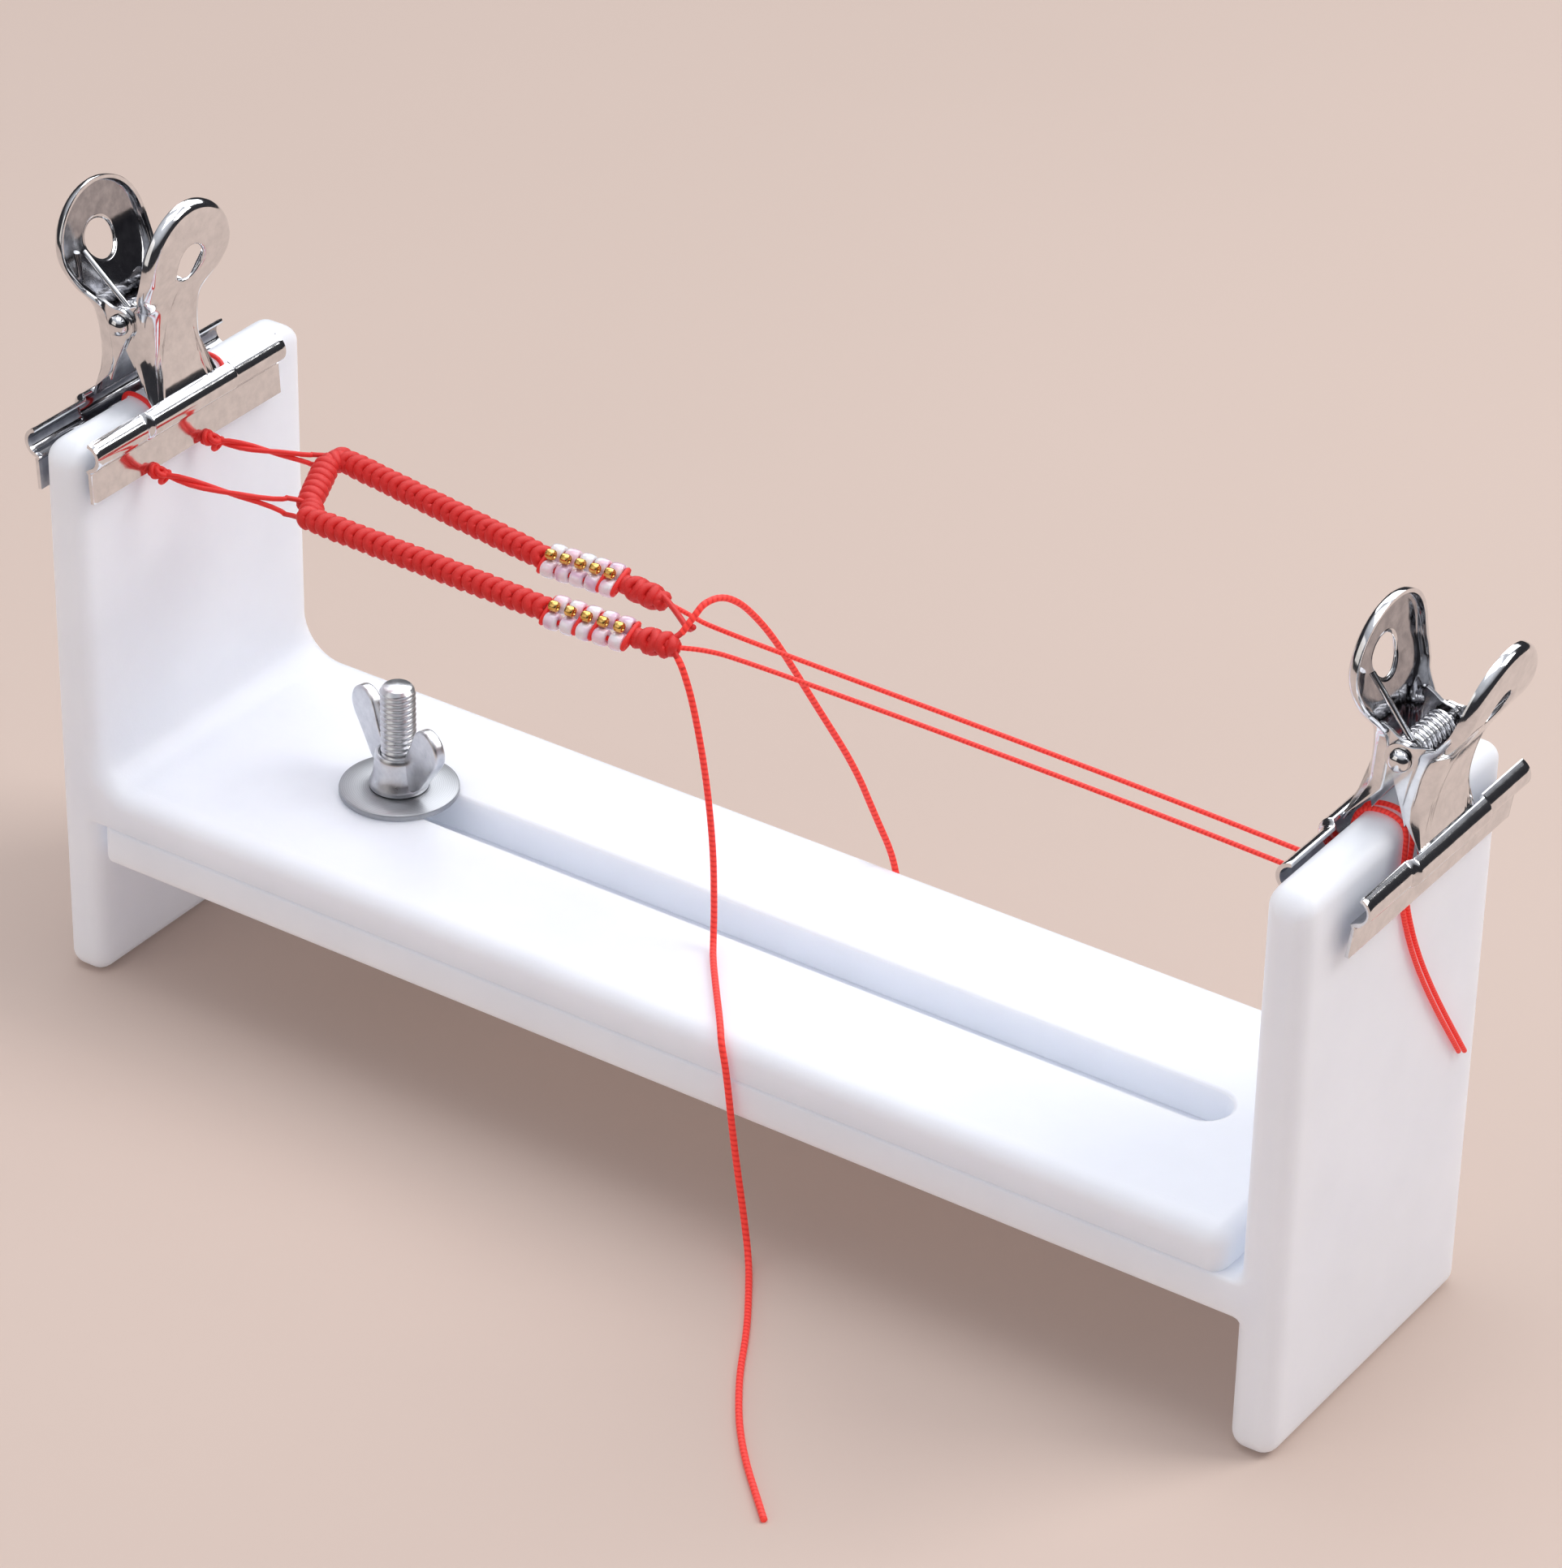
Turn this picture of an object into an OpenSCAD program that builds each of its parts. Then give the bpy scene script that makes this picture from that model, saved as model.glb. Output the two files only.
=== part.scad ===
// Adjustable bracelet jig: two moulded frames that slide over each other,
// a slotted plate with a bolt and wing nut, two sprung clips,
// and a knotted bracelet strung between the clips.
// The origin is the middle of the left foot's sole, X runs along the jig.

/* [Frames] */
// Distance between the outer faces of the uprights, jig closed
closed_length = 235; // [200:1:280]
// Depth of the jig from front to back
depth = 58; // [50:1:70]
// Height of the uprights
height = 100; // [90:1:120]
// Thickness of each upright
upright_t = 8; // [7:0.5:10]
// Height of the lower plate's underside above the table
foot_h = 23.5; // [20:0.5:30]
// Thickness of each of the two plates
plate_t = 7; // [6:0.5:9]
// Rounding of the outer edges
edge_r = 3; // [2:0.1:3.3]
// Corner radius of an upright seen from the end
corner_r = 4.5; // [3.5:0.5:7]
// Rounding of the edges where the plates lie on each other
seam_r = 0.6; // [0.3:0.1:1]
// Rounding of the lower plate's underside edges
under_r = 1.6; // [1:0.1:2.5]
// Fillet between the left upright and the upper plate
fillet_r = 7; // [4:0.5:10]
// Fillet between the right upright and the lower plate
small_fillet_r = 1.8; // [1:0.1:2.2]
// Gap between the upper plate's end and the right upright, jig closed
plate_end_gap = 2.6; // [2.4:0.1:4]
// Gap between the lower plate's end and the left foot, jig closed
foot_gap = 0.6; // [0.4:0.1:1.5]

/* [Clamp] */
// Width of the long slot
slot_w = 9; // [8:0.5:11]
// Distance from the left upright's middle to the bolt
bolt_x = 45; // [40:1:60]
// Material left between the slot and the upper plate's end
slot_margin = 16; // [12:1:25]
// Diameter of the bolt
bolt_d = 6; // [5:0.5:6.5]
// Length of bolt above the washer
bolt_above = 18.8; // [17.5:0.1:24]
// Side of the square neck under the bolt's head
neck_w = 6.6; // [6.5:0.1:7.5]
// Diameter of the bolt's domed head
head_d = 15; // [13:0.5:17]
// Height of the bolt's domed head
head_h = 3.2; // [2.5:0.1:4]
// Diameter of the washer
washer_d = 20; // [17:0.5:24]
// Thickness of the washer
washer_t = 1.2; // [0.8:0.1:1.6]
// Diameter of the wing nut's body at its base
nut_d = 10; // [9.5:0.5:12]
// Height of the wing nut's body
nut_h = 6.5; // [5:0.5:8]
// Distance across the wing tips
wing_span = 25; // [22:0.5:30]
// Height of the wing tips above the washer
wing_h = 14.5; // [12:0.5:17]
// Thickness of a wing
wing_t = 2; // [1.5:0.1:2.5]
// Direction in which the wings point
wing_turn = -19; // [-90:1:90]

/* [Clips] */
// Width of a clip's jaws
jaw_w = 48; // [40:1:54]
// Thickness of the clip's sheet steel
sheet_t = 0.7; // [0.5:0.1:0.9]
// Outer radius of the rolled bead along a jaw
roll_r = 2.6; // [2.4:0.1:3.2]
// Width of the part of the bead that bulges out further, below the arm
bulge_w = 22; // [19:0.5:26]
// How far that part bulges out further
roll_step = 0.6; // [0:0.1:1]
// Height of the flat lip below the bead
lip_h = 5.6; // [5:0.1:8]
// Width of the arm where it leaves the bead
arm_w = 17; // [16.5:0.5:20]
// Width between the outsides of the outer leaf's ears
ear_w = 15.2; // [14.6:0.1:18]
// Distance from the middle of the pin out to the arm
arm_x = 5.5; // [5.2:0.1:7]
// Radius of a handle's round end
pad_r = 10.6; // [9.5:0.1:12]
// Height of a handle's middle above the pin
pad_z = 10.2; // [9.5:0.1:13]
// Depth of the rim that is turned in round a handle
rim_h = 2; // [1.2:0.1:2.4]
// Radius of the hole in a handle
eye_r = 3.6; // [2.5:0.1:4.5]
// Height of the pin above the middle of the lips
pin_above_lip = 21; // [19:0.1:24]
// Diameter of the pin
pin_d = 2.4; // [2:0.1:2.6]
// Wire diameter of the spring
wire_d = 1; // [0.8:0.1:1.1]
// Number of turns in the spring
spring_turns = 7; // [4:1:7]
// Distance from the uprights' top down to the middle of the left clip's lips
left_lip_drop = 6.6; // [5:0.1:12]
// Distance from the uprights' top down to the middle of the right clip's lips
right_lip_drop = 9.7; // [7:0.1:12]
// Place of the left clip along the upright
left_clip_y = -4; // [-5:0.5:5]
// Place of the right clip along the upright
right_clip_y = 4.5; // [-5:0.5:5]
// Outward lean of the left clip
left_lean = 3.5; // [0:0.5:6]
// Outward lean of the right clip
right_lean = 8; // [0:0.5:9]

/* [Bracelet] */
// Thickness of the knotted legs
braid_d = 4.6; // [4:0.1:5]
// Thickness of the thin cords inside the knots
core_d = 0.8; // [0.7:0.1:0.8]
// Thickness of the two working cords
cord_d = 1.1; // [0.9:0.1:1.2]
// Outer diameter of a pale bead
bead_d = 3; // [2.6:0.1:3.1]
// Outer diameter of a gold bead
gold_d = 1.8; // [1.5:0.1:1.8]

/* [Hidden] */

plastic = [0.93, 0.94, 0.97];
steel = [0.72, 0.73, 0.75];
red = [0.86, 0.16, 0.14];
pale = [0.93, 0.80, 0.87];
gold = [0.86, 0.66, 0.25];

// Running clearance of a pin in its ear and of the bolt in the nut
run_gap = 0.05;
// Space that the pinched cord takes beside each jaw
pinch_gap = core_d + 0.15;
arc_steps = 6;

half_t = upright_t / 2;
right_x = closed_length - upright_t;
inner_left = half_t;
inner_right = right_x - half_t;
seam_z = foot_h + plate_t;
deck_z = seam_z + plate_t;
plate_end = inner_right - plate_end_gap;
slot_end = plate_end - slot_margin - slot_w / 2;
washer_top = deck_z + washer_t;
bolt_top = washer_top + bolt_above;

function unit(v) = v / norm(v);
function last(list) = list[len(list) - 1];

// Closes a stack of rings, all with the same number of points, into a solid.
// Each end is a fan round a middle point that sees the whole of its ring.
module skin(rings, first_middle, last_middle) {
    sides = len(rings[0]);
    top = (len(rings) - 1) * sides;
    middle = len(rings) * sides;
    faces = concat(
        [for (k = [0 : sides - 1]) each
            [[k, (k + 1) % sides, middle], [top + (k + 1) % sides, top + k, middle + 1]]],
        [for (i = [0 : len(rings) - 2], k = [0 : sides - 1])
            let (a = i * sides + k, b = i * sides + (k + 1) % sides)
            each [[a, a + sides, b + sides], [a, b + sides, b]]]
    );
    points = concat([for (ring = rings, p = ring) p], [first_middle, last_middle]);
    polyhedron(points = points, faces = faces);
}

// How far a face rounded by radius r has drawn in at distance h from the side
function draw_in(r, h) = h >= r ? 0 : r - sqrt(r * r - (r - h) * (r - h));

// One corner of a side view whose edges all run along X or Z.
// A corner is [x, z, its radius, rounding of the edge that follows it].
function corner_arc(before, at, after, h) =
    let (
        d0 = unit([at[0] - before[0], at[1] - before[1]]),
        d1 = unit([after[0] - at[0], after[1] - at[1]]),
        in0 = draw_in(before[3], h),
        in1 = draw_in(at[3], h),
        place = [at[0], at[1]] + in0 * [-d0[1], d0[0]] + in1 * [-d1[1], d1[0]],
        outward = d0[0] * d1[1] - d0[1] * d1[0] > 0,
        r = outward ? max(at[2] - (in0 + in1) / 2, 0.05) : at[2] + (in0 + in1) / 2,
        steps = at[2] < 1 ? 2 : arc_steps
    )
    [for (j = [0 : steps])
        place + r * (d1 - d0) - r * cos(90 * j / steps) * d1 + r * sin(90 * j / steps) * d0];

// Ring of a frame at distance h in from the side, at the place y
function frame_ring(corners, h, y) =
    let (n = len(corners))
    [for (i = [0 : n - 1], p = corner_arc(corners[(i + n - 1) % n], corners[i], corners[(i + 1) % n], h))
        [p[0], y, p[1]]];

// A frame moulded in one piece: its side view, drawn in towards front and back.
// The joint is where the plate's middle line crosses the upright's.
module moulding(corners, joint) {
    steps = [0, 0.03, 0.12, 0.28, 0.5, 0.75, 1];
    widest = max([for (c = corners) c[3]]);
    skin(
        concat(
            [for (t = steps) frame_ring(corners, t * widest, depth / 2 - t * widest)],
            [for (k = [len(steps) - 1 : -1 : 0])
                frame_ring(corners, steps[k] * widest, steps[k] * widest - depth / 2)]
        ),
        [joint[0], depth / 2, joint[1]],
        [joint[0], -depth / 2, joint[1]]
    );
}

module slot_cut() {
    translate([bolt_x, 0, seam_z - 1]) cylinder(d = slot_w, h = plate_t + 2, $fn = 48);
    translate([slot_end, 0, seam_z - 1]) cylinder(d = slot_w, h = plate_t + 2, $fn = 48);
    translate([bolt_x, -slot_w / 2, seam_z - 1]) cube([slot_end - bolt_x, slot_w, plate_t + 2]);
}

module left_frame() {
    color(plastic)
        difference() {
            moulding([
                [-half_t, 0, edge_r, edge_r], [half_t, 0, edge_r, edge_r], [half_t, seam_z, 0.4, seam_r],
                [plate_end, seam_z, seam_r, edge_r], [plate_end, deck_z, edge_r, edge_r],
                [half_t, deck_z, fillet_r, edge_r], [half_t, height, edge_r, corner_r],
                [-half_t, height, edge_r, edge_r]
            ], [0, seam_z + plate_t / 2]);
            slot_cut();
        }
}

module right_frame() {
    hole_w = neck_w + 0.2;
    color(plastic)
        difference() {
            moulding([
                [inner_left + foot_gap, foot_h, under_r, under_r], [inner_right, foot_h, 0.8, edge_r],
                [inner_right, 0, edge_r, edge_r], [right_x + half_t, 0, edge_r, edge_r],
                [right_x + half_t, height, edge_r, corner_r], [inner_right, height, edge_r, edge_r],
                [inner_right, seam_z, small_fillet_r, seam_r],
                [inner_left + foot_gap, seam_z, seam_r, edge_r]
            ], [right_x, foot_h + plate_t / 2]);
            translate([bolt_x - hole_w / 2, -hole_w / 2, foot_h - 1])
                cube([hole_w, hole_w, plate_t + 2]);
        }
}

// Carriage bolt: domed head below, square neck in the lower plate, round shank above
module clamp_bolt() {
    dome_r = (head_d * head_d / 4 + head_h * head_h) / (2 * head_h);
    neck_h = plate_t - 1;
    chamfer = 0.6;
    color(steel)
        translate([bolt_x, 0, 0]) {
            rotate_extrude($fn = 64)
                intersection() {
                    translate([0, foot_h - head_h + dome_r]) circle(r = dome_r, $fn = 128);
                    translate([0, foot_h - head_h - 1]) square([head_d / 2, head_h + 1]);
                }
            translate([-neck_w / 2, -neck_w / 2, foot_h - 0.2]) cube([neck_w, neck_w, neck_h + 0.2]);
            rotate_extrude($fn = 64)
                polygon([
                    [0, foot_h], [bolt_d / 2, foot_h], [bolt_d / 2, bolt_top - chamfer],
                    [bolt_d / 2 - chamfer, bolt_top], [0, bolt_top]
                ]);
        }
}

module washer() {
    bore_d = bolt_d + 0.4;
    color(steel)
        translate([bolt_x, 0, deck_z])
            rotate_extrude($fn = 96)
                polygon([
                    [bore_d / 2, 0], [washer_d / 2 - 0.2, 0], [washer_d / 2, 0.2],
                    [washer_d / 2, washer_t - 0.2], [washer_d / 2 - 0.2, washer_t], [bore_d / 2, washer_t]
                ]);
}

// One wing of the nut, leaning outwards, with a round tip
module wing() {
    tip_r = 3.5;
    tip_x = wing_span / 2 - tip_r;
    tip_z = wing_h - tip_r;
    root_x = nut_d / 2 - 1.4;
    rotate([90, 0, 0])
        translate([0, 0, -wing_t / 2])
            linear_extrude(height = wing_t)
                union() {
                    translate([tip_x, tip_z]) circle(r = tip_r, $fn = 48);
                    polygon([
                        [root_x, 0.8], [nut_d / 2 + 1.6, 1.6],
                        [tip_x + tip_r * cos(-35), tip_z + tip_r * sin(-35)],
                        [tip_x + tip_r * cos(145), tip_z + tip_r * sin(145)], [root_x, nut_h - 0.4]
                    ]);
                }
}

module wing_nut() {
    bore_r = bolt_d / 2 + run_gap;
    neck_d = nut_d - 1.6;
    color(steel)
        translate([bolt_x, 0, washer_top])
            rotate([0, 0, wing_turn])
                difference() {
                    union() {
                        rotate_extrude($fn = 64)
                            polygon([
                                [0, 0], [nut_d / 2, 0], [nut_d / 2, 1],
                                [neck_d / 2, 2.4], [neck_d / 2 - 0.3, nut_h], [0, nut_h]
                            ]);
                        wing();
                        rotate([0, 0, 180]) wing();
                    }
                    translate([0, 0, -1]) cylinder(r = bore_r, h = wing_h + 2, $fn = 64);
                }
}

// Clips. A leaf is drawn with the pin along Y through the origin,
// its sheet on the +X side, its jaw below and its handle above.
lip_low = -pin_above_lip - lip_h / 2;
lip_high = lip_low + lip_h;
roll_z = lip_high + roll_r;
ear_t = sheet_t;
// Length of the cuts through a handle
through = 20;
// Depth below the pin to which the ears are joined to the arm
ear_low = 8.6;
ear_gap = 0.1;
ear_inset = 0.06;

// Half the distance between the inner faces of the two lips, for a clip that leans
function jaw_half(lean) = (half_t + pinch_gap) / cos(lean) + lip_h / 2 * tan(lean);

// Middle line of the sheet from the bead to the handle's tip, in the XZ plane
function leaf_line(j) = [
    [j + 0.45 * roll_r, roll_z + 0.8 * roll_r], [j + 0.15 * roll_r, roll_z + 1.4 * roll_r],
    [arm_x - 0.3, -6], [arm_x, -1], [arm_x + 0.8, 3], [arm_x + 2.7, 7],
    [arm_x + 4.3, pad_z], [arm_x + 5, pad_z + 0.5 * pad_r], [arm_x + 5.4, pad_z + pad_r + 1]
];

// A strip between two offsets of a line, as a polygon
function strip(line, from, to) =
    let (
        n = len(line) - 1,
        side = [for (i = [0 : n])
            let (d = unit(line[min(i + 1, n)] - line[max(i - 1, 0)])) [d[1], -d[0]]]
    )
    concat(
        [for (i = [0 : n]) line[i] + to * side[i]],
        [for (i = [n : -1 : 0]) line[i] + from * side[i]]
    );

// Prism through the full width of the jaws, drawn in the XZ plane
module across(width) {
    rotate([90, 0, 0])
        translate([0, 0, -width / 2])
            linear_extrude(height = width)
                children();
}

// Outline of arm and handle seen from the front, in by d, extruded along X
module handle_outline(d) {
    waist = ear_w / 2 - d;
    base = arm_w / 2 - d;
    side_y = pad_r * cos(28) - d;
    side_z = pad_z - pad_r * sin(28);
    rotate([90, 0, 90])
        linear_extrude(height = through)
            union() {
                translate([0, pad_z]) circle(r = pad_r - d, $fn = 96);
                polygon([
                    [base, roll_z], [base, roll_z + roll_r + 0.5], [waist, -5], [waist, 1.5],
                    [side_y, side_z], [-side_y, side_z],
                    [-waist, 1.5], [-waist, -5], [-base, roll_z + roll_r + 0.5], [-base, roll_z]
                ]);
            }
}

// Ear that is bent in from the arm's edge and reaches to the pin
module ear(y) {
    boss_r = pin_d / 2 + 1.5;
    translate([0, y, 0])
        across(ear_t)
            difference() {
                union() {
                    circle(r = boss_r, $fn = 48);
                    polygon([
                        [boss_r * cos(-120), boss_r * sin(-120)], [arm_x - 0.2, -ear_low], [arm_x, -1],
                        [arm_x + 0.8, 3], [arm_x + 1.9, 5.4], [boss_r * cos(80), boss_r * sin(80)]
                    ]);
                }
                circle(r = pin_d / 2 + run_gap, $fn = 48);
            }
}

// Bead rolled from the sheet, open towards the upright
module bead_roll(width, r) {
    across(width)
        intersection() {
            difference() {
                circle(r = r, $fn = 64);
                circle(r = r - sheet_t, $fn = 64);
            }
            union() {
                translate([0, -2 * r]) square([2 * r, 2 * r]);
                translate([0.2 * r, -0.1]) square([2 * r, 2 * r]);
            }
        }
}

module leaf(j, ear_y) {
    line = leaf_line(j);
    difference() {
        union() {
            // Lip and rolled bead over the whole width of the jaw
            across(jaw_w) translate([j, lip_low]) square([sheet_t, lip_h + 0.6 * sheet_t]);
            translate([j, 0, roll_z]) bead_roll(jaw_w, roll_r);
            translate([j + roll_step, 0, roll_z + 0.25]) bead_roll(bulge_w, roll_r);
            // Arm and handle with the rim that is turned in
            difference() {
                intersection() {
                    across(jaw_w) polygon(strip(line, -rim_h + sheet_t / 2, sheet_t / 2));
                    handle_outline(0);
                }
                intersection() {
                    across(jaw_w) polygon(strip(line, -rim_h - 2, -sheet_t / 2));
                    union() {
                        handle_outline(sheet_t);
                        translate([0, -jaw_w / 2, 2 * roll_z]) cube([through, jaw_w, -2 * roll_z - ear_low]);
                    }
                }
            }
            ear(ear_y);
            ear(-ear_y);
        }
        translate([0, 0, pad_z]) rotate([0, 90, 0]) cylinder(r = eye_r, h = through, $fn = 48);
    }
}

// Moves a clip's own frame to its place on an upright
module on_upright(x, y, drop, lean) {
    translate([x, y, height - drop])
        rotate([0, lean, 0])
            translate([0, 0, pin_above_lip])
                children();
}

outer_ear_y = ear_w / 2 - ear_t / 2 - ear_inset;
inner_ear_y = outer_ear_y - ear_t - ear_gap;

module left_clip_outer_leaf() {
    color(steel)
        on_upright(0, left_clip_y, left_lip_drop, -left_lean)
            mirror([1, 0, 0])
                leaf(jaw_half(left_lean), outer_ear_y);
}

module left_clip_inner_leaf() {
    color(steel)
        on_upright(0, left_clip_y, left_lip_drop, -left_lean)
            leaf(jaw_half(left_lean), inner_ear_y);
}

module right_clip_outer_leaf() {
    color(steel)
        on_upright(right_x, right_clip_y, right_lip_drop, right_lean)
            leaf(jaw_half(right_lean), outer_ear_y);
}

module right_clip_inner_leaf() {
    color(steel)
        on_upright(right_x, right_clip_y, right_lip_drop, right_lean)
            mirror([1, 0, 0])
                leaf(jaw_half(right_lean), inner_ear_y);
}

// Pin with a riveted head at each end
module clip_pin() {
    half = ear_w / 2 + 0.1;
    head_t = 1.6;
    rotate([90, 0, 0])
        rotate_extrude($fn = 48)
            polygon([
                [0, -half - head_t], [1, -half - head_t], [1.8, -half - 0.9], [1.8, -half],
                [pin_d / 2, -half], [pin_d / 2, half],
                [1.8, half], [1.8, half + 0.9], [1, half + head_t], [0, half + head_t]
            ]);
}

module left_clip_pin() {
    color(steel) on_upright(0, left_clip_y, left_lip_drop, -left_lean) clip_pin();
}

module right_clip_pin() {
    color(steel) on_upright(right_x, right_clip_y, right_lip_drop, right_lean) clip_pin();
}

// Torsion spring: an open coil round the pin and a straight leg to each handle
coil_r = pin_d / 2 + 0.5 + wire_d / 2;
coil_pitch = wire_d + 0.45;
coil_half = spring_turns * coil_pitch / 2;
curl_rings = 8;
leg_z = 10;
leg_x = lookup(leg_z, [for (p = leaf_line(half_t)) [p[1], p[0]]]) - sheet_t / 2 - 0.6 * wire_d - 0.25;
// The coil runs from the angle where one leg is tangent to that of the other
leg_angle = atan2(leg_z, leg_x) - acos(coil_r / norm([leg_x, leg_z]));
coil_sweep = 360 * spring_turns + 180 - 2 * leg_angle;
coil_rings = ceil(coil_sweep / 360 * curl_rings);
coil_path = [for (i = [0 : coil_rings])
    let (a = leg_angle - coil_sweep * i / coil_rings)
    [coil_r * cos(a), coil_half - 2 * coil_half * i / coil_rings, coil_r * sin(a)]];
spring_path = concat(
    [[leg_x, coil_half, leg_z], (2 * [leg_x, coil_half, leg_z] + 3 * coil_path[0]) / 5],
    coil_path,
    [(2 * [-leg_x, -coil_half, leg_z] + 3 * last(coil_path)) / 5, [-leg_x, -coil_half, leg_z]]
);
spring_gap = min([for (i = [0 : coil_rings - curl_rings], k = [curl_rings - 2 : curl_rings + 2])
    if (i + k <= coil_rings) norm(coil_path[i] - coil_path[i + k])]) - wire_d;
echo(spring_least_gap = spring_gap);

module clip_spring() {
    tube(spring_path, wire_d / 2, 6);
}

module left_clip_spring() {
    color(steel) on_upright(0, left_clip_y, left_lip_drop, -left_lean) clip_spring();
}

module right_clip_spring() {
    color(steel) on_upright(right_x, right_clip_y, right_lip_drop, right_lean) clip_spring();
}

// Cords are tubes along a route. The route's corners are cut to smooth it, twice on the long cords.
function cut_corners(p) = concat(
    [p[0]],
    [for (i = [0 : len(p) - 2]) each [0.75 * p[i] + 0.25 * p[i + 1], 0.25 * p[i] + 0.75 * p[i + 1]]],
    [last(p)]
);
function smooth(p) = cut_corners(cut_corners(p));
function along(p, i) = unit(p[min(i + 1, len(p) - 1)] - p[max(i - 1, 0)]);
function carried(n, t) = unit(n - (n * t) * t);
function first_side(t) = carried(abs(t[2]) < 0.8 ? [0, 0, 1] : [1, 0, 0], t);

module tube(p, r, sides = 8) {
    count = len(p);
    normals = [for (i = 0, n = first_side(along(p, 0)); i < count;
        i = i + 1, n = carried(n, along(p, min(i, count - 1)))) n];
    radius = [for (i = [0 : count - 1]) is_list(r) ? r[i] : r];
    skin([for (i = [0 : count - 1])
        let (t = along(p, i), n = normals[i], b = cross(t, n))
        [for (k = [0 : sides - 1])
            p[i] + radius[i] * (cos(360 * k / sides) * n + sin(360 * k / sides) * b)]],
        p[0], last(p));
}

// A rod from a to b that swells to full thickness from narrower ends
module spindle(a, b, d, end_d, steps = 12, sides = 12) {
    path = [for (i = [0 : steps]) a + (b - a) * (i / steps)];
    tube(path, [for (i = [0 : steps])
        end_d / 2 + (d - end_d) / 2 * pow(sin(180 * i / steps), 0.45)], sides);
}

// Places of the bracelet's knots and legs
work_z = height - 11.5;
bar_from = [31, -4.6, work_z];
bar_to = [24.8, 8.4, work_z];
front_from = [32.4, -7.6, work_z];
front_to = [82, -8.8, work_z];
back_from = [24.4, 11.4, work_z];
back_to = [72, 4.2, work_z];
front_bead_end = [97.6, -7.8, work_z];
back_bead_end = [86.4, 5, work_z];
front_knot_end = [105.2, -6.4, work_z];
back_knot_end = [95.6, 4, work_z];

module braid_bar() {
    color(red) spindle(bar_from, bar_to, braid_d, braid_d * 0.6);
}

// A knotted leg, and the two thin cords that run on through the beads to the end knot
module braid_leg(from, to, bead_end) {
    spindle(from, to, braid_d, braid_d * 0.86, 16);
    for (row = [-1, 1])
        tube([for (i = [0 : 4]) bead_place(to, bead_end, row, i / 4 * (bead_count + 0.45) - 0.9)], 0.3, 6);
}

module braid_front_leg() {
    color(red) braid_leg(front_from, front_to, front_bead_end);
}

module braid_back_leg() {
    color(red) braid_leg(back_from, back_to, back_bead_end);
}

bead_count = 5;
bead_len = 2.4;

// Point beside bead i on the middle line between a leg and its end knot
function bead_step(from, to, i) = from + (to - from) * ((i + 0.6) / (bead_count + 0.2));

// Middle of bead i in one of the two rows
function bead_place(from, to, row, i) =
    let (d = unit(to - from), side = unit(cross([0, 0, 1], d)))
    bead_step(from, to, i)
    + row * (bead_d / 2 + 0.1) * (0.86 * side + [0, 0, 0.5]);

// Round bead with a hole, its axis along d
module bead(place, d, outer, length, hole_r) {
    barrel = outer / 2 - 0.15;
    translate(place)
        rotate([0, 90, atan2(d[1], d[0])])
            rotate_extrude($fn = 32)
                intersection() {
                    translate([0.15, 0]) circle(r = barrel, $fn = 48);
                    translate([hole_r, -length / 2]) square([outer, length]);
                }
}

module pale_beads(from, to) {
    for (row = [-1, 1], i = [0 : bead_count - 1])
        bead(bead_place(from, to, row, i), to - from, bead_d, bead_len, 0.4);
}

// Gold beads sit in the groove between the two rows, on top
module gold_beads(from, to) {
    d = unit(to - from);
    side = unit(cross([0, 0, 1], d));
    for (i = [0 : bead_count - 1])
        bead(
            bead_step(from, to, i) + 0.66 * bead_d * [-0.5 * side[0], -0.5 * side[1], 0.86],
            to - from, gold_d, 1.5, 0.3
        );
}

module pale_beads_front() {
    color(pale) pale_beads(front_to, front_bead_end);
}

module pale_beads_back() {
    color(pale) pale_beads(back_to, back_bead_end);
}

module gold_beads_front() {
    color(gold) gold_beads(front_to, front_bead_end);
}

module gold_beads_back() {
    color(gold) gold_beads(back_to, back_bead_end);
}

module knot_front() {
    color(red) spindle(front_bead_end + [0.3, 0, 0], front_knot_end, 4.6, 2.4);
}

module knot_back() {
    color(red) spindle(back_bead_end + [0.3, 0, 0], back_knot_end, 4.4, 2.4);
}

// Routes of the cords
outer_right = right_x + half_t;
over_top = height + 0.6;

// From under the outer jaw over the left upright's top, down under the inner jaw,
// round its lower edge and out to the bar
anchor_front_route = [
    [-half_t - 0.5, -7, work_z + 1], [-half_t - 0.5, -7.4, height - 5], [-half_t - 0.3, -7.8, height - 1.2],
    [1.2 - half_t, -8.2, height + 0.2], [0, -8.8, over_top], [half_t - 1.2, -9.4, height + 0.2],
    [half_t + 0.3, -10, height - 1.2], [half_t + 0.5, -11, height - 5],
    [half_t + 0.5, -12.4, work_z + 2.2], [half_t + 1, -12.9, work_z + 0.9], [7, -13, work_z + 2.2],
    [16, -11, work_z + 1.2], [28.2, -6.6, work_z]
];
anchor_back_route = [
    [-half_t - 0.5, 6, work_z + 1], [-half_t - 0.5, 7.2, height - 5], [-half_t - 0.3, 8.6, height - 1.2],
    [1.2 - half_t, 9.4, height + 0.2], [0, 9.6, over_top], [half_t - 1.2, 9, height + 0.2],
    [half_t + 0.3, 7.4, height - 1.2], [half_t + 0.5, 4.6, height - 5],
    [half_t + 0.5, 1.2, work_z + 2.2], [half_t + 1, 0.5, work_z + 0.9], [7, 0.6, work_z + 2.4],
    [14, 3.9, work_z + 1.3], [21.8, 8.2, work_z]
];
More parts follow.
